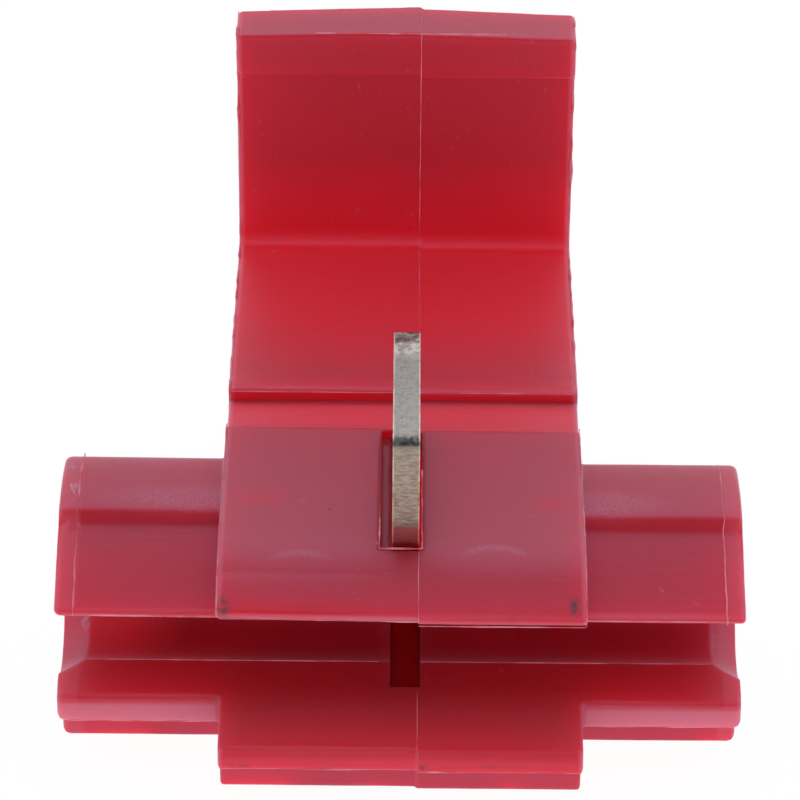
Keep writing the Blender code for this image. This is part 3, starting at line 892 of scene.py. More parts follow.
def nylon_material(moulding):
    """Injection-moulded nylon, through-dyed red: satin, a little translucent, finely grained by the mould.

    Pin marks turn pale, as stressed nylon does, and grime sits in the corners; paler colour is also painted as
    highlights on edges, lips, crowns and the lower jaws' nose, and clearer red as glow where light would come
    through.
    """
    material, tree, shader = new_material("moulded_red_nylon")
    place = object_mm(tree)
    axes = add_node(tree, "ShaderNodeSeparateXYZ", {0: place}).outputs
    wide = add_node(tree, "ShaderNodeMath", {0: axes["X"]}, operation="ABSOLUTE")

    crescents = merged(tree, [crescent_mask(tree, place, *crescent) for crescent in CRESCENTS])
    haze = broken_up(tree, crescents, place, 12.0, 0.25, 0.95)
    # Painted highlight, grainy, on the tap barrels' crowns
    grainy_highlight = broken_up(tree, spot_mask(tree, place, GRAINY_BARREL_HIGHLIGHTS), place, 14.0, 0.3, 1.0)
    # Whitish nicks, and a painted highlight in the left flare
    spots = broken_up(tree, spot_mask(tree, place, WORN_AND_HIGHLIGHT_SPOTS), place, 5.0, 0.35, 0.55)
    # Painted highlights along the convex edges, where the skin's pointiness is high
    bulge = add_node(tree, "ShaderNodeNewGeometry").outputs["Pointiness"]
    crisp = add_node(tree, "ShaderNodeMapRange", {"Value": bulge, "From Min": 0.6, "From Max": 0.7,
                                                  "To Max": 0.6})
    edges = broken_up(tree, crisp, place, 3.0, 0.25, 0.6)
    # Painted glow: the thin-walled ends of the barrels are laid paler, standing in for light coming through
    # them
    thin_end = HOUSING_HALF - WITNESS_INSET
    collar = add_node(tree, "ShaderNodeMapRange", {"Value": wide, "From Min": thin_end - 0.05,
                                                   "From Max": thin_end + 0.1, "To Max": 0.2})
    # Paler colour: painted highlights and painted glow, together with the real pin marks and nicks
    pale = merged(tree, [haze, grainy_highlight, spots, edges, nose_highlight_mask(tree, axes, wide), collar,
                         rim_glow_mask(tree, axes, wide), spot_mask(tree, place, PAINTED_LIGHT_ZONES)])

    along = add_node(tree, "ShaderNodeMath", {0: axes["X"], 1: math.tau / SCUFF_PITCH}, operation="MULTIPLY")
    strokes = add_node(tree, "ShaderNodeMath", {0: along}, operation="SINE")
    struck = add_node(tree, "ShaderNodeMapRange", {"Value": strokes, "From Min": -0.6, "From Max": 0.8,
                                                   "To Min": 0.2, "To Max": 0.5})
    hatched = merged(tree, [spot_mask(tree, place, SCUFFS), struck], "MULTIPLY")
    scuffs = broken_up(tree, hatched, place, 2.2, 0.3, 0.6)
    grime = merged(tree, [broken_up(tree, spot_mask(tree, place, DIRT_SPOTS), place, 6.0, 0.35, 0.62),
                          broken_up(tree, spot_mask(tree, place, DIRT_LINES), place, 3.0, 0.42, 0.8)])

    tone = add_node(tree, "ShaderNodeTexNoise", {"Vector": place, "Scale": 0.3, "Detail": 2.0})
    body = linear_colour(moulding.colour)
    glow = linear_colour(moulding.painted_glow_and_scuff_colour)
    # The glow spots and the pale mask are painted light; the tone, the scuffs and the grime are the plastic's
    # own
    colour = layered(tree, shaded(body, 0.9), (tone, body), (spot_mask(tree, place, PAINTED_GLOW_SPOTS), glow),
                     (pale, linear_colour(moulding.pale_highlight_and_stress_colour)), (scuffs, glow),
                     (grime, linear_colour(moulding.dirt_colour)))
    # Light goes less deep at the grime, the pale spots and the painted edge highlights, so that these stay
    # crisp
    marks_and_edge_highlights = merged(tree, [grime, spots, edges])
    deep_light = add_node(tree, "ShaderNodeMapRange", {"Value": marks_and_edge_highlights, "To Min": 1.0, "To Max": 0.3})
    rough = add_node(tree, "ShaderNodeMapRange", {"Value": merged(tree, [scuffs, grime]),
                                                  "To Min": moulding.roughness, "To Max": 0.75})

    grain = add_node(tree, "ShaderNodeTexNoise", {"Vector": place, "Scale": 9.0, "Detail": 3.0})
    streaks = add_node(tree, "ShaderNodeVectorMath", {0: place, 1: (0.4, 5.0, 5.0)}, operation="MULTIPLY")
    brushed = add_node(tree, "ShaderNodeTexNoise", {"Vector": streaks, "Scale": 1.0, "Detail": 3.0})
    relief = add_node(tree, "ShaderNodeMath", {0: grain, 1: brushed}, operation="ADD")
    rise = add_node(tree, "ShaderNodeMath", {0: grainy_highlight, 1: 2.0, 2: relief}, operation="MULTIPLY_ADD")
    bump = add_node(tree, "ShaderNodeBump", {"Height": rise, "Strength": 0.3, "Distance": 0.02 * MM})
    fill_inputs(tree, shader, {
        "Base Color": colour, "Subsurface Weight": deep_light, "Subsurface Radius": (1.0, 0.07, 0.12),
        "Subsurface Scale": 2.2 * MM, "Roughness": rough, "IOR": NYLON_IOR, "Specular IOR Level": 0.95,
        "Specular Tint": linear_colour(NYLON_GLOSS_TINT), "Sheen Weight": 0.45, "Sheen Roughness": 0.45,
        "Sheen Tint": linear_colour(NYLON_SHEEN_TINT), "Normal": bump})
    return material


def flash_material(moulding):
    """Nylon squeezed thin between the mould halves: whitish, with a faint emission as painted glow that stands
    in for light coming through it.
    """
    material, tree, shader = new_material("thin_nylon_flash_with_painted_glow")
    patches = add_node(tree, "ShaderNodeTexNoise", {"Vector": object_mm(tree), "Scale": 1.2, "Detail": 2.0})
    share = add_node(tree, "ShaderNodeMapRange", {"Value": patches, "From Min": 0.35, "From Max": 0.65,
                                                  "To Min": 0.2, "To Max": 0.85})
    colour = layered(tree, linear_colour(moulding.colour), (share, linear_colour(moulding.flash_and_highlight_colour)))
    # The emission is a painted glow, on the flash and on the threads painted as highlights
    fill_inputs(tree, shader, {"Base Color": colour, "Roughness": 0.5, "IOR": NYLON_IOR,
                               "Emission Color": colour, "Emission Strength": 0.12})
    return material


def tinned_material(contact):
    """Stamped brass strip with a matt tin plating: mottled grey, torn and brownish on its sheared edge, with
    painted shade along the bend and a painted red reflection of the block low on its front edge.
    """
    material, tree, shader = new_material("tin_plated_brass")
    place = object_mm(tree)
    axes = add_node(tree, "ShaderNodeSeparateXYZ", {0: place}).outputs
    mottle = add_node(tree, "ShaderNodeTexNoise", {"Vector": place, "Scale": 7.0, "Detail": 5.0})
    left_side = add_node(tree, "ShaderNodeMapRange", {"Value": axes["X"], "From Min": CONTACT_HIGH.x,
                                                      "From Max": CONTACT_LOW.x, "To Max": 0.7})
    pits = broken_up(tree, left_side, place, 9.0, 0.62, 0.7)
    torn_from = CONTACT_HIGH.y - TORN_END
    torn_end = broken_up(tree, ramps(tree, (axes["Y"], torn_from - 0.1, torn_from)), place, 5.0, 0.2, 0.6)
    scraped = broken_up(tree, ramps(tree, (axes["Y"], torn_from - 1.1, torn_from - 0.4)), place, 4.0, 0.4, 0.62)

    # Painted shade in a band along the bend
    bent = add_node(tree, "ShaderNodeMath", {0: axes["Z"], 1: axes["Y"]}, operation="SUBTRACT")
    corner = add_node(tree, "ShaderNodeMath", {0: bent, 1: CONTACT_HIGH.z - CONTACT_LOW.y - BEND_INSET},
                      operation="SUBTRACT")
    gap = add_node(tree, "ShaderNodeMath", {0: corner}, operation="ABSOLUTE")
    painted_bend_shade = broken_up(tree, ramps(tree, (gap, 0.22, 0.02)), place, 5.0, 0.2, 0.6)

    front = CONTACT_LOW.y
    red_reflection_top = BLOCK_HEIGHT + RED_REFLECTION_HEIGHT
    top = CONTACT_HIGH.z
    edge = ramps(tree, (axes["Y"], front + 0.1, front + 0.03), (axes["Z"], top - 0.1, top - 0.3))
    sheared = merged(tree, [edge, ramps(tree, (axes["Z"], red_reflection_top - 0.1, red_reflection_top + 0.1))], "MULTIPLY")
    # Painted reflection of the red block on the front edge below the sheared part
    foot = add_node(tree, "ShaderNodeMath", {0: edge, 1: sheared}, operation="SUBTRACT")
    across = add_node(tree, "ShaderNodeVectorMath", {0: place, 1: (2.4, 1.0, 7.0)}, operation="MULTIPLY")
    tears = add_node(tree, "ShaderNodeTexNoise", {"Vector": across, "Scale": 2.4, "Detail": 4.0})

    middle = (CONTACT_LOW.x + CONTACT_HIGH.x) / 2
    half = (CONTACT_HIGH.x - CONTACT_LOW.x) / 2
    side = add_node(tree, "ShaderNodeMath", {0: axes["X"], 1: middle}, operation="SUBTRACT")
    off = add_node(tree, "ShaderNodeMath", {0: side}, operation="ABSOLUTE")
    rim = add_node(tree, "ShaderNodeMapRange", {"Value": off, "From Min": half - 0.05, "From Max": half - 0.02,
                                                "To Max": 0.8})
    ragged = broken_up(tree, rim, place, 2.5, 0.3, 0.55)

    bright = linear_colour(contact.colour)
    brown = linear_colour(contact.sheared_colour)
    smeared = layered(tree, shaded(brown, 0.62), (ramps(tree, (tears, 0.36, 0.6)), brown))
    colour = layered(tree, shaded(bright, 0.7), (ramps(tree, (mottle, 0.3, 0.55)), bright),
                     (pits, linear_colour(PIT_COLOUR)), (scraped, linear_colour(SCRAPED_COLOUR)),
                     (torn_end, linear_colour(TORN_COLOUR)),
                     (painted_bend_shade, linear_colour(BEND_SHADE_COLOUR)), (foot, linear_colour(RED_REFLECTION_COLOUR)),
                     (sheared, smeared), (ragged, linear_colour(BURR_COLOUR)))
    rough = add_node(tree, "ShaderNodeMapRange", {"Value": mottle, "To Min": 0.3, "To Max": 0.5})
    furrows = merged(tree, [tears, sheared], "MULTIPLY")
    relief = add_node(tree, "ShaderNodeMath", {0: mottle, 1: 0.25, 2: furrows}, operation="MULTIPLY_ADD")
    bump = add_node(tree, "ShaderNodeBump", {"Height": relief, "Strength": 0.8, "Distance": contact.burr * MM})
    fill_inputs(tree, shader, {"Base Color": colour, "Metallic": 1.0, "Roughness": rough, "Normal": bump})
    return material


def new_geometry_tree(name, sockets):
    """A geometry node tree with one output and named inputs, which are given as their kind and their names."""
    tree = bpy.data.node_groups.new(name, "GeometryNodeTree")
    for kind, names in sockets:
        for socket in names:
            tree.interface.new_socket(socket, in_out="INPUT", socket_type="NodeSocket" + kind)
    tree.interface.new_socket("Geometry", in_out="OUTPUT", socket_type="NodeSocketGeometry")
    return tree, add_node(tree, "NodeGroupInput").outputs


def close_tree(tree, geometry, material):
    """End a tree: everything made real, with its material."""
    real = add_node(tree, "GeometryNodeRealizeInstances", {"Geometry": geometry})
    coated = add_node(tree, "GeometryNodeSetMaterial", {"Geometry": real, "Material": material})
    add_node(tree, "NodeGroupOutput", {"Geometry": coated})
    return tree


def flash_tree():
    """Geometry nodes that lay a thin, wavering and ragged thread of flash along every path they are given."""
    tree, sizes = new_geometry_tree("flash_line", (
        ("Geometry", ["Paths"]), ("Float", ["Step", "Radius", "Waver", "Raggedness", "Frequency"]),
        ("Int", ["Seed"]), ("Material", ["Material"])))
    curves = add_node(tree, "GeometryNodeMeshToCurve", {"Mesh": sizes["Paths"]})
    even = add_node(tree, "GeometryNodeResampleCurve", {"Curve": curves, "Length": sizes["Step"]},
                    mode="LENGTH")
    spot = {"Vector": add_node(tree, "GeometryNodeInputPosition"), "W": sizes["Seed"]}
    wave = add_node(tree, "ShaderNodeTexNoise", {**spot, "Scale": 1.1, "Detail": 2.0}, noise_dimensions="4D")
    centred = add_node(tree, "ShaderNodeVectorMath", {0: wave.outputs["Color"], 1: (0.5, 0.5, 0.5)},
                       operation="SUBTRACT")
    drift = add_node(tree, "ShaderNodeVectorMath", {0: centred, "Scale": sizes["Waver"]}, operation="SCALE")
    sideways = add_node(tree, "ShaderNodeVectorMath", {0: drift, 1: (1.0, 0.15, 0.15)}, operation="MULTIPLY")
    moved = add_node(tree, "GeometryNodeSetPosition", {"Geometry": even, "Offset": sideways})
    rag = add_node(tree, "ShaderNodeTexNoise", {**spot, "Scale": sizes["Frequency"], "Detail": 3.0},
                   noise_dimensions="4D")
    proud = ramps(tree, (rag, 0.45, 0.7))
    swell = add_node(tree, "ShaderNodeMath", {0: proud, 1: sizes["Raggedness"], 2: 0.45},
                     operation="MULTIPLY_ADD")
    girth = add_node(tree, "ShaderNodeMath", {0: swell, 1: sizes["Radius"]}, operation="MULTIPLY")
    ring = add_node(tree, "GeometryNodeCurvePrimitiveCircle", {"Resolution": 6, "Radius": 1.0})
    thread = add_node(tree, "GeometryNodeCurveToMesh", {"Curve": moved, "Profile Curve": ring, "Scale": girth,
                                                        "Fill Caps": True})
    return close_tree(tree, thread, sizes["Material"])


def blade_tree():
    """Geometry nodes that draw the slotted plate: a rounded plate less a row of keyhole slots with lead-ins."""
    tree, sizes = new_geometry_tree("slotted_blade", (
        ("Float", ["Length", "Height", "Thickness", "Corner", "Slot Width", "Slot Depth", "Slot Mouth", "Lead",
                   "First Slot", "Pitch"]), ("Int", ["Slots"]), ("Material", ["Material"])))

    def slab(outline, thickness):
        """A filled outline made into a closed slab, centred on its plane."""
        fill = add_node(tree, "GeometryNodeFillCurve", {"Curve": outline})
        push = add_node(tree, "ShaderNodeCombineXYZ", {"Z": thickness})
        up = add_node(tree, "GeometryNodeExtrudeMesh", {"Mesh": fill, "Offset": push, "Offset Scale": 1.0,
                                                        "Individual": False})
        both = add_node(tree, "GeometryNodeJoinGeometry", {0: up})
        fill_inputs(tree, both, {0: add_node(tree, "GeometryNodeFlipFaces", {"Mesh": fill})})
        closed = add_node(tree, "GeometryNodeMergeByDistance", {"Geometry": both, "Distance": 0.0001})
        half = add_node(tree, "ShaderNodeMath", {0: thickness, 1: -0.5}, operation="MULTIPLY")
        back = add_node(tree, "ShaderNodeCombineXYZ", {"Z": half})
        return add_node(tree, "GeometryNodeTransform", {"Geometry": closed, "Translation": back})

    plate = add_node(tree, "GeometryNodeCurvePrimitiveQuadrilateral", {"Width": sizes["Length"],
                                                                       "Height": sizes["Height"]})
    rounded = add_node(tree, "GeometryNodeFilletCurve", {"Curve": plate, "Count": 6, "Radius": sizes["Corner"]},
                       mode="POLY")
    body = slab(rounded, sizes["Thickness"])
    twice, deep, tall, spread, bow, low = [
        add_node(tree, "ShaderNodeMath", {0: sizes[name], 1: factor}, operation="MULTIPLY")
        for name, factor in (
            ("Thickness", 2.0), ("Slot Depth", 2.0), ("Lead", 2.0), ("Slot Mouth", 2.0), ("Slot Width", 0.49),
            ("Height", -0.5))]
    wire = add_node(tree, "GeometryNodeCurvePrimitiveQuadrilateral",
                    {"Width": sizes["Slot Width"], "Height": deep})
    keyhole = add_node(tree, "GeometryNodeFilletCurve", {"Curve": wire, "Count": 8, "Radius": bow}, mode="POLY")
    open_width = add_node(tree, "ShaderNodeMath", {0: spread, 1: sizes["Slot Width"]}, operation="SUBTRACT")
    lead = add_node(tree, "GeometryNodeCurvePrimitiveQuadrilateral",
                    {"Bottom Width": open_width, "Top Width": sizes["Slot Width"], "Height": tall,
                     "Offset": 0.0}, mode="TRAPEZOID")
    cutter = add_node(tree, "GeometryNodeMeshBoolean", operation="UNION", solver="EXACT")
    for outline in (keyhole, lead):
        fill_inputs(tree, cutter, {"Mesh 2": slab(outline, twice)})
    start = add_node(tree, "ShaderNodeCombineXYZ", {"X": sizes["First Slot"], "Y": low})
    step = add_node(tree, "ShaderNodeCombineXYZ", {"X": sizes["Pitch"]})
    row = add_node(tree, "GeometryNodeMeshLine",
                   {"Count": sizes["Slots"], "Start Location": start, "Offset": step})
    copies = add_node(tree, "GeometryNodeInstanceOnPoints", {"Points": row, "Instance": cutter})
    real = add_node(tree, "GeometryNodeRealizeInstances", {"Geometry": copies})
    blade = add_node(tree, "GeometryNodeMeshBoolean", {"Mesh 1": body, "Mesh 2": real}, operation="DIFFERENCE",
                     solver="EXACT")
    return close_tree(tree, blade, sizes["Material"])


def grown(name, tree, values, base=None):
    """Run a geometry node tree with named inputs, and keep its result as a plain mesh."""
    thing = base or to_object(name, bmesh.new())
    modifier = thing.modifiers.new("Grown", "NODES")
    modifier.node_group = tree
    sockets = {item.name: item.identifier for item in tree.interface.items_tree if item.in_out == "INPUT"}
    for key, value in values.items():
        modifier[sockets[key]] = value
    settle(thing)
    thing.name = name
    return thing


class WIRETAP_OT_mould_housing(bpy.types.Operator):
    """Mould the housing: block, jaws and twin barrels in one skin"""

    bl_idname = "wiretap.mould_housing"
    bl_label = "Mould Housing"

    def execute(self, context):
        moulding = context.scene.wiretap_moulding
        piece = moulded_skin(housing_body(), moulding)
        for vert in piece.data.vertices:
            vert.co.z += warp(vert.co.x, vert.co.y - SECTION_Y, vert.co.z)
        dress(piece, nylon_material(moulding))
        to_metres(piece)
        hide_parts("housing")
        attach(piece, "housing")
        return {"FINISHED"}


class WIRETAP_OT_mould_cover(bpy.types.Operator):
    """Mould the cover with its latch hook"""

    bl_idname = "wiretap.mould_cover"
    bl_label = "Mould Cover"

    def execute(self, context):
        moulding = context.scene.wiretap_moulding
        piece = moulded_skin(cover_body(), moulding)
        dress(piece, bpy.data.materials["moulded_red_nylon"])
        to_metres(piece)
        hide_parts("cover")
        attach(piece, "cover")
        return {"FINISHED"}


class WIRETAP_OT_bend_strap(bpy.types.Operator):
    """Lay the living hinge between the block and the cover"""

    bl_idname = "wiretap.bend_strap"
    bl_label = "Lay Living Hinge"

    rows: IntProperty(name="Rows", description="Rows of faces along the bend", default=28, min=4, max=80)
    root: FloatProperty(
        name="Root", description="How deep each end sits in its neighbour, in millimetres", default=0.12)

    def execute(self, context):
        start = STRAP_LOW.y - self.root
        end = COVER_LOW.y + self.root
        section = strap_section()
        steps = [start + (end - start) * row / self.rows for row in range(self.rows + 1)]
        piece = skinned("living_hinge", [[(x, y, z) for x, z in section] for y in steps])
        piece.data.shade_smooth()
        dress(piece, bpy.data.materials["moulded_red_nylon"])
        to_metres(piece)
        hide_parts("hinge_strap")
        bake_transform(piece)
        return {"FINISHED"}


def strap_section():
    """The hinge strap's rounded section across X."""
    bottom = STRAP_LOW.z + COVER_MISMATCH / 2
    top = STRAP_HIGH.z - COVER_MISMATCH / 2
    radius = (top - bottom) / 2 * STRAP_ROUND_SHARE
    reach = BLOCK_HALF - STRAP_SIDE_INSET - radius
    points = []
    for x, z, start in ((reach, top - radius, 0), (-reach, top - radius, 90), (-reach, bottom + radius, 180),
                        (reach, bottom + radius, 270)):
        points += arc((x, z), radius, start, start + 90, 5)
    return points


def facing_out(thing):
    """Turn every face outwards."""
    mesh = bmesh.new()
    mesh.from_mesh(thing.data)
    bmesh.ops.recalc_face_normals(mesh, faces=mesh.faces)
    mesh.to_mesh(thing.data)
    mesh.free()
    return thing


def path_object(name, paths):
    """Open paths, each a list of x, section y and z, as one mesh of edges."""
    mesh = bmesh.new()
    for path in paths:
        points = [mesh.verts.new((x, SECTION_Y + y, z)) for x, y, z in path]
        for near, far in zip(points, points[1:]):
            mesh.edges.new((near, far))
    return to_object(name, mesh)


def block_top_path(x, start, forward):
    """Along the block's top and shoulder, from one section y to the lip."""
    shoulder = (SHOULDER_START, BLOCK_HEIGHT - SHOULDER_RADIUS)
    sweep = math.degrees(math.acos(-SHOULDER_START / SHOULDER_RADIUS))
    path = [(start, BLOCK_HEIGHT)] if start > SHOULDER_START else []
    path += [point for point in arc(shoulder, SHOULDER_RADIUS, 90, sweep) if point[0] < start]
    path.append((0.0, jaw_height(0.0)))
    return warped([(x, y - forward, z) for y, z in path])


def lower_jaw_path(x):
    """Over the shelf, the ledge and the riser below the mouth."""
    return [(x, LOWER_JAW_START, shelf_height(LOWER_JAW_START)), (x, SHELF_FRONT, shelf_height(SHELF_FRONT)),
            (x, LEDGE_FRONT, LEDGE_HEIGHT), (x, RISER_FRONT, LEDGE_HEIGHT - LEDGE_FALL), (x, RISER_FRONT, 0.1)]


def barrel_path(x, forward=0.0):
    """Over both barrels, from their back down to the upper jaw's lip."""
    return warped([(x, y - forward, z) for y, z in barrel_crown()])


def crown_point(x, y):
    """A point on the tap barrel's crown."""
    height = TAP_CROWN_Z + math.sqrt(TAP_CROWN_RADIUS ** 2 - (y - TAP_CROWN_Y) ** 2)
    return x, y, height + warp(x, y, BLOCK_HEIGHT)


def slot_edge_path():
    """Round the wide part of the slot, in the block's top."""
    return [(x, y, BLOCK_HEIGHT) for x, y in (
        (WIDE_SLOT_LEFT, SLOT_FRONT + SLOT_EDGE_RUN), (WIDE_SLOT_LEFT, SLOT_FRONT),
        (WIDE_SLOT_RIGHT, SLOT_FRONT), (WIDE_SLOT_RIGHT, SLOT_BACK - SLOT_EDGE_RUN))]


def cover_path(x, inset, down=0.0):
    """Once round the cover's section."""
    outline = shifted(cover_outline(inset), 0.0, down)
    return [(x, y, z) for y, z in outline + outline[:1]]


def straight_path(left, right, y, z, steps=40):
    """A path along X, in short steps."""
    return [(left + (right - left) * index / steps, y, z) for index in range(steps + 1)]


def jaw_edge_paths():
    """Along the lips of the jaws, the edge between shelf and run channel, and the lower jaws' front edges."""
    lower = line_meets_circle(SHELF_HEIGHT - SHELF_SLOPE * SHELF_FRONT, SHELF_SLOPE, (RUN_Y, RUN_Z), RUN_RADIUS)
    block = BLOCK_HALF - BLOCK_END_ROUND
    outer = HOUSING_HALF - BARREL_END_ROUND
    flare = HOUSING_HALF - RUN_FLARE_LENGTH
    lip = (RUN_LIP_Y + RUN_LIP_SINK, jaw_height(RUN_LIP_Y) + THREAD_SINK)
    paths = [straight_path(-flare, WIDE_SLOT_LEFT, *lower), straight_path(WIDE_SLOT_RIGHT, flare, *lower)]
    for left, right, forward in ((-outer, -BLOCK_HALF, 0.0), (BLOCK_HALF, outer, HOUSING_MISMATCH)):
        paths.append(straight_path(left, right, *lip))
        paths.append(straight_path(left, right, NOSE_FRONT + THREAD_SINK - forward, NOSE_BOTTOM + THREAD_SINK))
    ledge = LEDGE_FRONT + THREAD_SINK
    for left, right, forward in ((-block, PARTING_X, 0.0), (PARTING_X + STEP_LENGTH, block, HOUSING_MISMATCH)):
        paths.append(straight_path(left, right, EDGE_SINK - forward, jaw_height(0.0) - THREAD_SINK))
        paths.append(straight_path(left, right, ledge - forward, LEDGE_HEIGHT + THREAD_SINK))
    return [warped(path) for path in paths]


def hook_edge_path():
    """Along the edge between the latch hook's end and its nose."""
    nose = LEDGE_FRONT - COVER_WALL_GAP + HOOK_REACH
    tip = LEDGE_HEIGHT - LATCH_CLEARANCE - HOOK_HEIGHT
    y, z = opened((nose - HOOK_SINK, tip + HOOK_SINK))
    return straight_path(HOOK_FLASH_LEFT, HOOK_FLASH_RIGHT, y, z, 8)


def bead_foot_path(reach):
    """Along the foot of the cover's bead."""
    near = 2 * HINGE_Y - (COVER_LOW.y - SECTION_Y)
    return straight_path(-reach, reach, *opened((near, BLOCK_HEIGHT + COVER_CLEARANCE)))


class WIRETAP_OT_trim_flash(bpy.types.Operator):
    """Leave thin flash along the partings of the mould and burrs along the edges, and pale threads painted as
    highlights along the lips, the lower jaws' edges and the bead's foot
    """

    bl_idname = "wiretap.trim_flash"
    bl_label = "Trim Flash"

    def execute(self, context):
        moulding = context.scene.wiretap_moulding
        material = flash_material(moulding)
        tree = flash_tree()
        side = BLOCK_HALF - EDGE_SINK
        inset = (BLOCK_HALF - PARTING_X) * math.tan(math.radians(COVER_DRAFT)) + EDGE_SINK
        witness = HOUSING_HALF - WITNESS_INSET
        seam = PARTING_X + STEP_LENGTH / 2
        curl = [[crown_point(-9.78, y) for y in (8.2, 7.5, 6.8, 6.1, 5.5, 5.2)],
                [crown_point(x, y) for x, y in ((-10.06, 6.0), (-9.99, 5.7), (-9.84, 5.35), (-9.8, 5.1))]]
        # Each group's name and paths, then its share of the flash's size, waver, raggedness, frequency, seed
        strands = {
            "housing": (
                ("parting", [block_top_path(seam, SLOT_FRONT, HOUSING_MISMATCH / 2), lower_jaw_path(seam)],
                 1.0, 0.03, 0.5, 0.8, 3),
                ("witness", [barrel_path(-witness - LEFT_REACH), barrel_path(witness, HOUSING_MISMATCH)],
                 1.0, 0.16, 1.2, 0.9, 11),
                ("curl", curl, 2.4, 0.04, 0.8, 1.0, 2),
                # Painted highlights: pale threads along the lips and the lower jaws' edges
                ("jaw_edge_highlights", jaw_edge_paths(), 1.0, 0.02, 1.2, 0.8, 14),
                ("block_edges", [block_top_path(-side, BLOCK_BACK, 0.0),
                                 block_top_path(side, BLOCK_BACK, HOUSING_MISMATCH)], 0.8, 0.02, 1.8, 1.8, 5),
                ("slot_edges", [slot_edge_path()], 1.0, 0.05, 2.2, 2.2, 8),
            ),
            "cover": (
                ("parting", [cover_path(seam, 0.0, COVER_MISMATCH / 2)], 1.0, 0.03, 0.5, 0.8, 4),
                ("cover_edges", [cover_path(-side, inset), cover_path(side, inset, COVER_MISMATCH)],
                 1.0, 0.02, 3.0, 0.9, 21),
                ("nose_flash", [hook_edge_path()], 1.0, 0.03, 1.6, 1.0, 9),
                # Painted highlight: a pale thread along the bead's foot
                ("bead_foot_highlight", [bead_foot_path(side)], 1.3, 0.01, 0.3, 0.8, 6),
            ),
        }
        for body, groups in strands.items():
            threads = []
            for name, paths, share, waver, raggedness, frequency, seed in groups:
                values = {"Step": 0.05, "Radius": moulding.flash * share, "Waver": waver,
                          "Raggedness": raggedness, "Frequency": frequency, "Seed": seed, "Material": material}
                threads.append(facing_out(grown(name, tree, values, path_object(name, paths))))
            piece = threads[0]
            add_bodies(piece, threads[1:])
            # The piece holds the flash and the pale threads painted as highlights
            piece.name = body + "_flash"
            piece.data.shade_smooth()
            dress(piece, material)
            to_metres(piece)
            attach(piece, body)
        return {"FINISHED"}


class WIRETAP_OT_stamp_contact(bpy.types.Operator):
    """Stamp the slotted contact plate"""

    bl_idname = "wiretap.stamp_contact"
    bl_label = "Stamp Contact"

    def execute(self, context):
        contact = context.scene.wiretap_contact
        size = CONTACT_HIGH - CONTACT_LOW
        center = (CONTACT_HIGH + CONTACT_LOW) / 2
        material = tinned_material(contact)
        piece = grown("contact_blade", blade_tree(), {
            "Length": size.y, "Height": size.z, "Thickness": size.x, "Corner": CONTACT_CORNER,
            "Slot Width": WIRE_SLOT_WIDTH, "Slot Depth": WIRE_SLOT_DEPTH, "Slot Mouth": WIRE_SLOT_MOUTH,
            "Lead": WIRE_SLOT_LEAD, "First Slot": RUN_Y + SECTION_Y - center.y, "Pitch": TAP_Y - RUN_Y,
            "Slots": contact.slots, "Material": material})
        stand = Matrix.Rotation(math.radians(90), 4, "Z") @ Matrix.Rotation(math.radians(90), 4, "X")
        piece.data.transform(Matrix.Translation(center) @ stand)
        bevel = piece.modifiers.new("Edge", "BEVEL")
        bevel.width = 0.05
        bevel.segments = 3
        bevel.limit_method = "ANGLE"
        settle(piece)
        piece.data.shade_smooth()
        dress(piece, material)
        to_metres(piece)
        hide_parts("contact_plate")
        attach(piece, "contact")
        return {"FINISHED"}


def soft_lamp(name):
    """The soft rectangular lamp over the table."""
    lamp = bpy.data.lights.new(name, "AREA")
    lamp.shape = "RECTANGLE"
    lamp.size, lamp.size_y = LAMP_SIDES
    lamp.energy = LAMP_POWER
    thing = bpy.data.objects.new(name, lamp)
    bpy.context.scene.collection.objects.link(thing)
    place = Vector(LAMP_STAND) * MM
    thing.location = place
    thing.rotation_euler = (Vector(LAMP_TARGET) * MM - place).to_track_quat("-Z", "Y").to_euler()


class WIRETAP_OT_set_stage(bpy.types.Operator):
    """Set the camera, the white table, the world and the soft lamp"""

    bl_idname = "wiretap.set_stage"
    bl_label = "Set Stage"

    def execute(self, context):
        scene = context.scene
        stage = scene.wiretap_stage
        scene.view_settings.view_transform = "Standard"
        data = bpy.data.cameras.new("photo_camera")
        data.sensor_width = 36.0
        data.lens = stage.lens
        data.clip_start = 0.005
        camera = bpy.data.objects.new("photo_camera", data)
        scene.collection.objects.link(camera)
        tilt = Matrix.Rotation(math.pi / 2 - stage.elevation, 4, "X")
        roll = Matrix.Rotation(stage.roll, 4, "Z")
        camera.matrix_world = Matrix.Translation(Vector(CAMERA_STAND) * MM) @ tilt @ roll
        scene.camera = camera
        white_table()
        studio_world(scene)
        soft_lamp("overhead_softbox")
        return {"FINISHED"}


def white_table():
    """A large pale table, seen white by the camera and in reflections, that keeps a faint shadow."""
    mesh = bmesh.new()
    corners = ((-1.0, -1.0), (1.0, -1.0), (1.0, 1.0), (-1.0, 1.0))
    mesh.faces.new([mesh.verts.new((x, y, 0.0)) for x, y in corners])
    table = to_object("table", mesh)
    material, tree, shader = new_material("matt_white_table")
    fill_inputs(tree, shader, {"Base Color": linear_colour("EDEDED"), "Roughness": 0.8, "Emission Color": WHITE,
                               "Emission Strength": 0.6})
    glow = add_node(tree, "ShaderNodeEmission", {"Color": WHITE, "Strength": 1.0})
    path = add_node(tree, "ShaderNodeLightPath").outputs
    seen = add_node(tree, "ShaderNodeMath", {0: path["Is Camera Ray"], 1: 0.9}, operation="MULTIPLY")
    share = merged(tree, [seen, path["Is Glossy Ray"], path["Is Transmission Ray"]])
    mix = add_node(tree, "ShaderNodeMixShader", {0: share, 1: shader, 2: glow})
    fill_inputs(tree, tree.nodes["Material Output"], {"Surface": mix})
    table.data.materials.append(material)
    return table


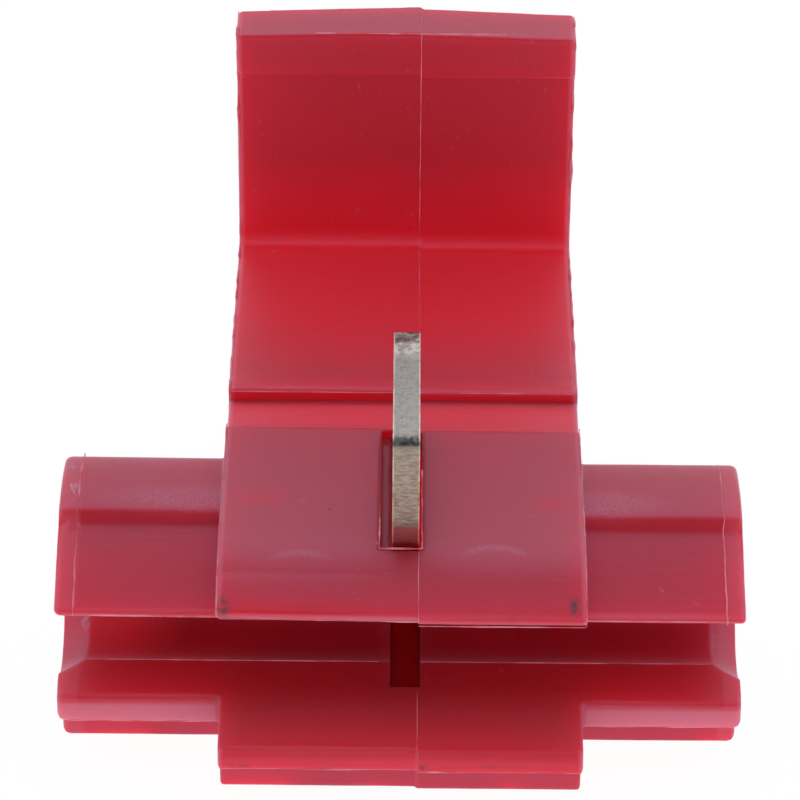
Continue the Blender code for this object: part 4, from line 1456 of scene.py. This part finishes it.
def studio_world(scene):
    """A pale room with a dim ceiling: white where the camera or a reflection sees its walls."""
    world = bpy.data.worlds.new("studio")
    scene.world = world
    world.use_nodes = True
    tree = world.node_tree
    place = add_node(tree, "ShaderNodeTexCoord").outputs["Generated"]
    depth, height = add_node(tree, "ShaderNodeSeparateXYZ", {0: place}).outputs[1:]
    lean = math.radians(CEILING_LEAN)
    above = add_node(tree, "ShaderNodeVectorMath", {0: place, 1: (0.0, -math.sin(lean), math.cos(lean))},
                     operation="DOT_PRODUCT")
    rim = math.cos(math.radians(CEILING_SPREAD + CEILING_BLUR))
    core = math.cos(math.radians(CEILING_SPREAD - CEILING_BLUR))
    walls, ceiling, front, window = [
        add_node(tree, "ShaderNodeMapRange", {"Value": value, "From Min": start, "From Max": end, "To Min": low,
                                              "To Max": high})
        for value, start, end, low, high in ((depth, -0.3, 0.5, 0.32, 0.7), (above, rim, core, 1.0, 0.15),
                                             (depth, -0.8, -0.5, 0.2, 1.0), (height, 0.4, 0.74, 0.65, 1.5))]
    mirrored = merged(tree, [ceiling, front, window], "MULTIPLY")
    path = add_node(tree, "ShaderNodeLightPath").outputs
    unseen = add_node(tree, "ShaderNodeMix", {0: path["Is Glossy Ray"], 2: walls, 3: mirrored})
    level = add_node(tree, "ShaderNodeMix", {0: path["Is Camera Ray"], 2: unseen, 3: 1.0})
    fill_inputs(tree, tree.nodes["Background"], {"Color": WHITE, "Strength": level})


class WIRETAP_PT_panel(bpy.types.Panel):
    """Wire tap tools in the sidebar"""

    bl_label = "Wire Tap"
    bl_idname = "WIRETAP_PT_panel"
    bl_space_type = "VIEW_3D"
    bl_region_type = "UI"
    bl_category = "Wire Tap"

    def draw(self, context):
        scene = context.scene
        for group in (scene.wiretap_moulding, scene.wiretap_contact, scene.wiretap_stage):
            block = self.layout.box()
            for name in group.__annotations__:
                block.prop(group, name)
        for operator in OPERATORS:
            self.layout.operator(operator.bl_idname)


OPERATORS = (
    WIRETAP_OT_set_stage,
    WIRETAP_OT_mould_housing,
    WIRETAP_OT_mould_cover,
    WIRETAP_OT_bend_strap,
    WIRETAP_OT_trim_flash,
    WIRETAP_OT_stamp_contact,
)
CLASSES = (WireTapMoulding, WireTapContact, WireTapStage) + OPERATORS + (WIRETAP_PT_panel,)


def register():
    for kind in CLASSES:
        bpy.utils.register_class(kind)
    bpy.types.Scene.wiretap_moulding = PointerProperty(type=WireTapMoulding)
    bpy.types.Scene.wiretap_contact = PointerProperty(type=WireTapContact)
    bpy.types.Scene.wiretap_stage = PointerProperty(type=WireTapStage)


def unregister():
    del bpy.types.Scene.wiretap_stage
    del bpy.types.Scene.wiretap_contact
    del bpy.types.Scene.wiretap_moulding
    for kind in reversed(CLASSES):
        bpy.utils.unregister_class(kind)


def main():
    register()
    bpy.ops.wiretap.set_stage()
    bpy.ops.wiretap.mould_housing()
    bpy.ops.wiretap.mould_cover()
    bpy.ops.wiretap.bend_strap()
    bpy.ops.wiretap.trim_flash()
    bpy.ops.wiretap.stamp_contact()


if __name__ == "__main__":
    main()
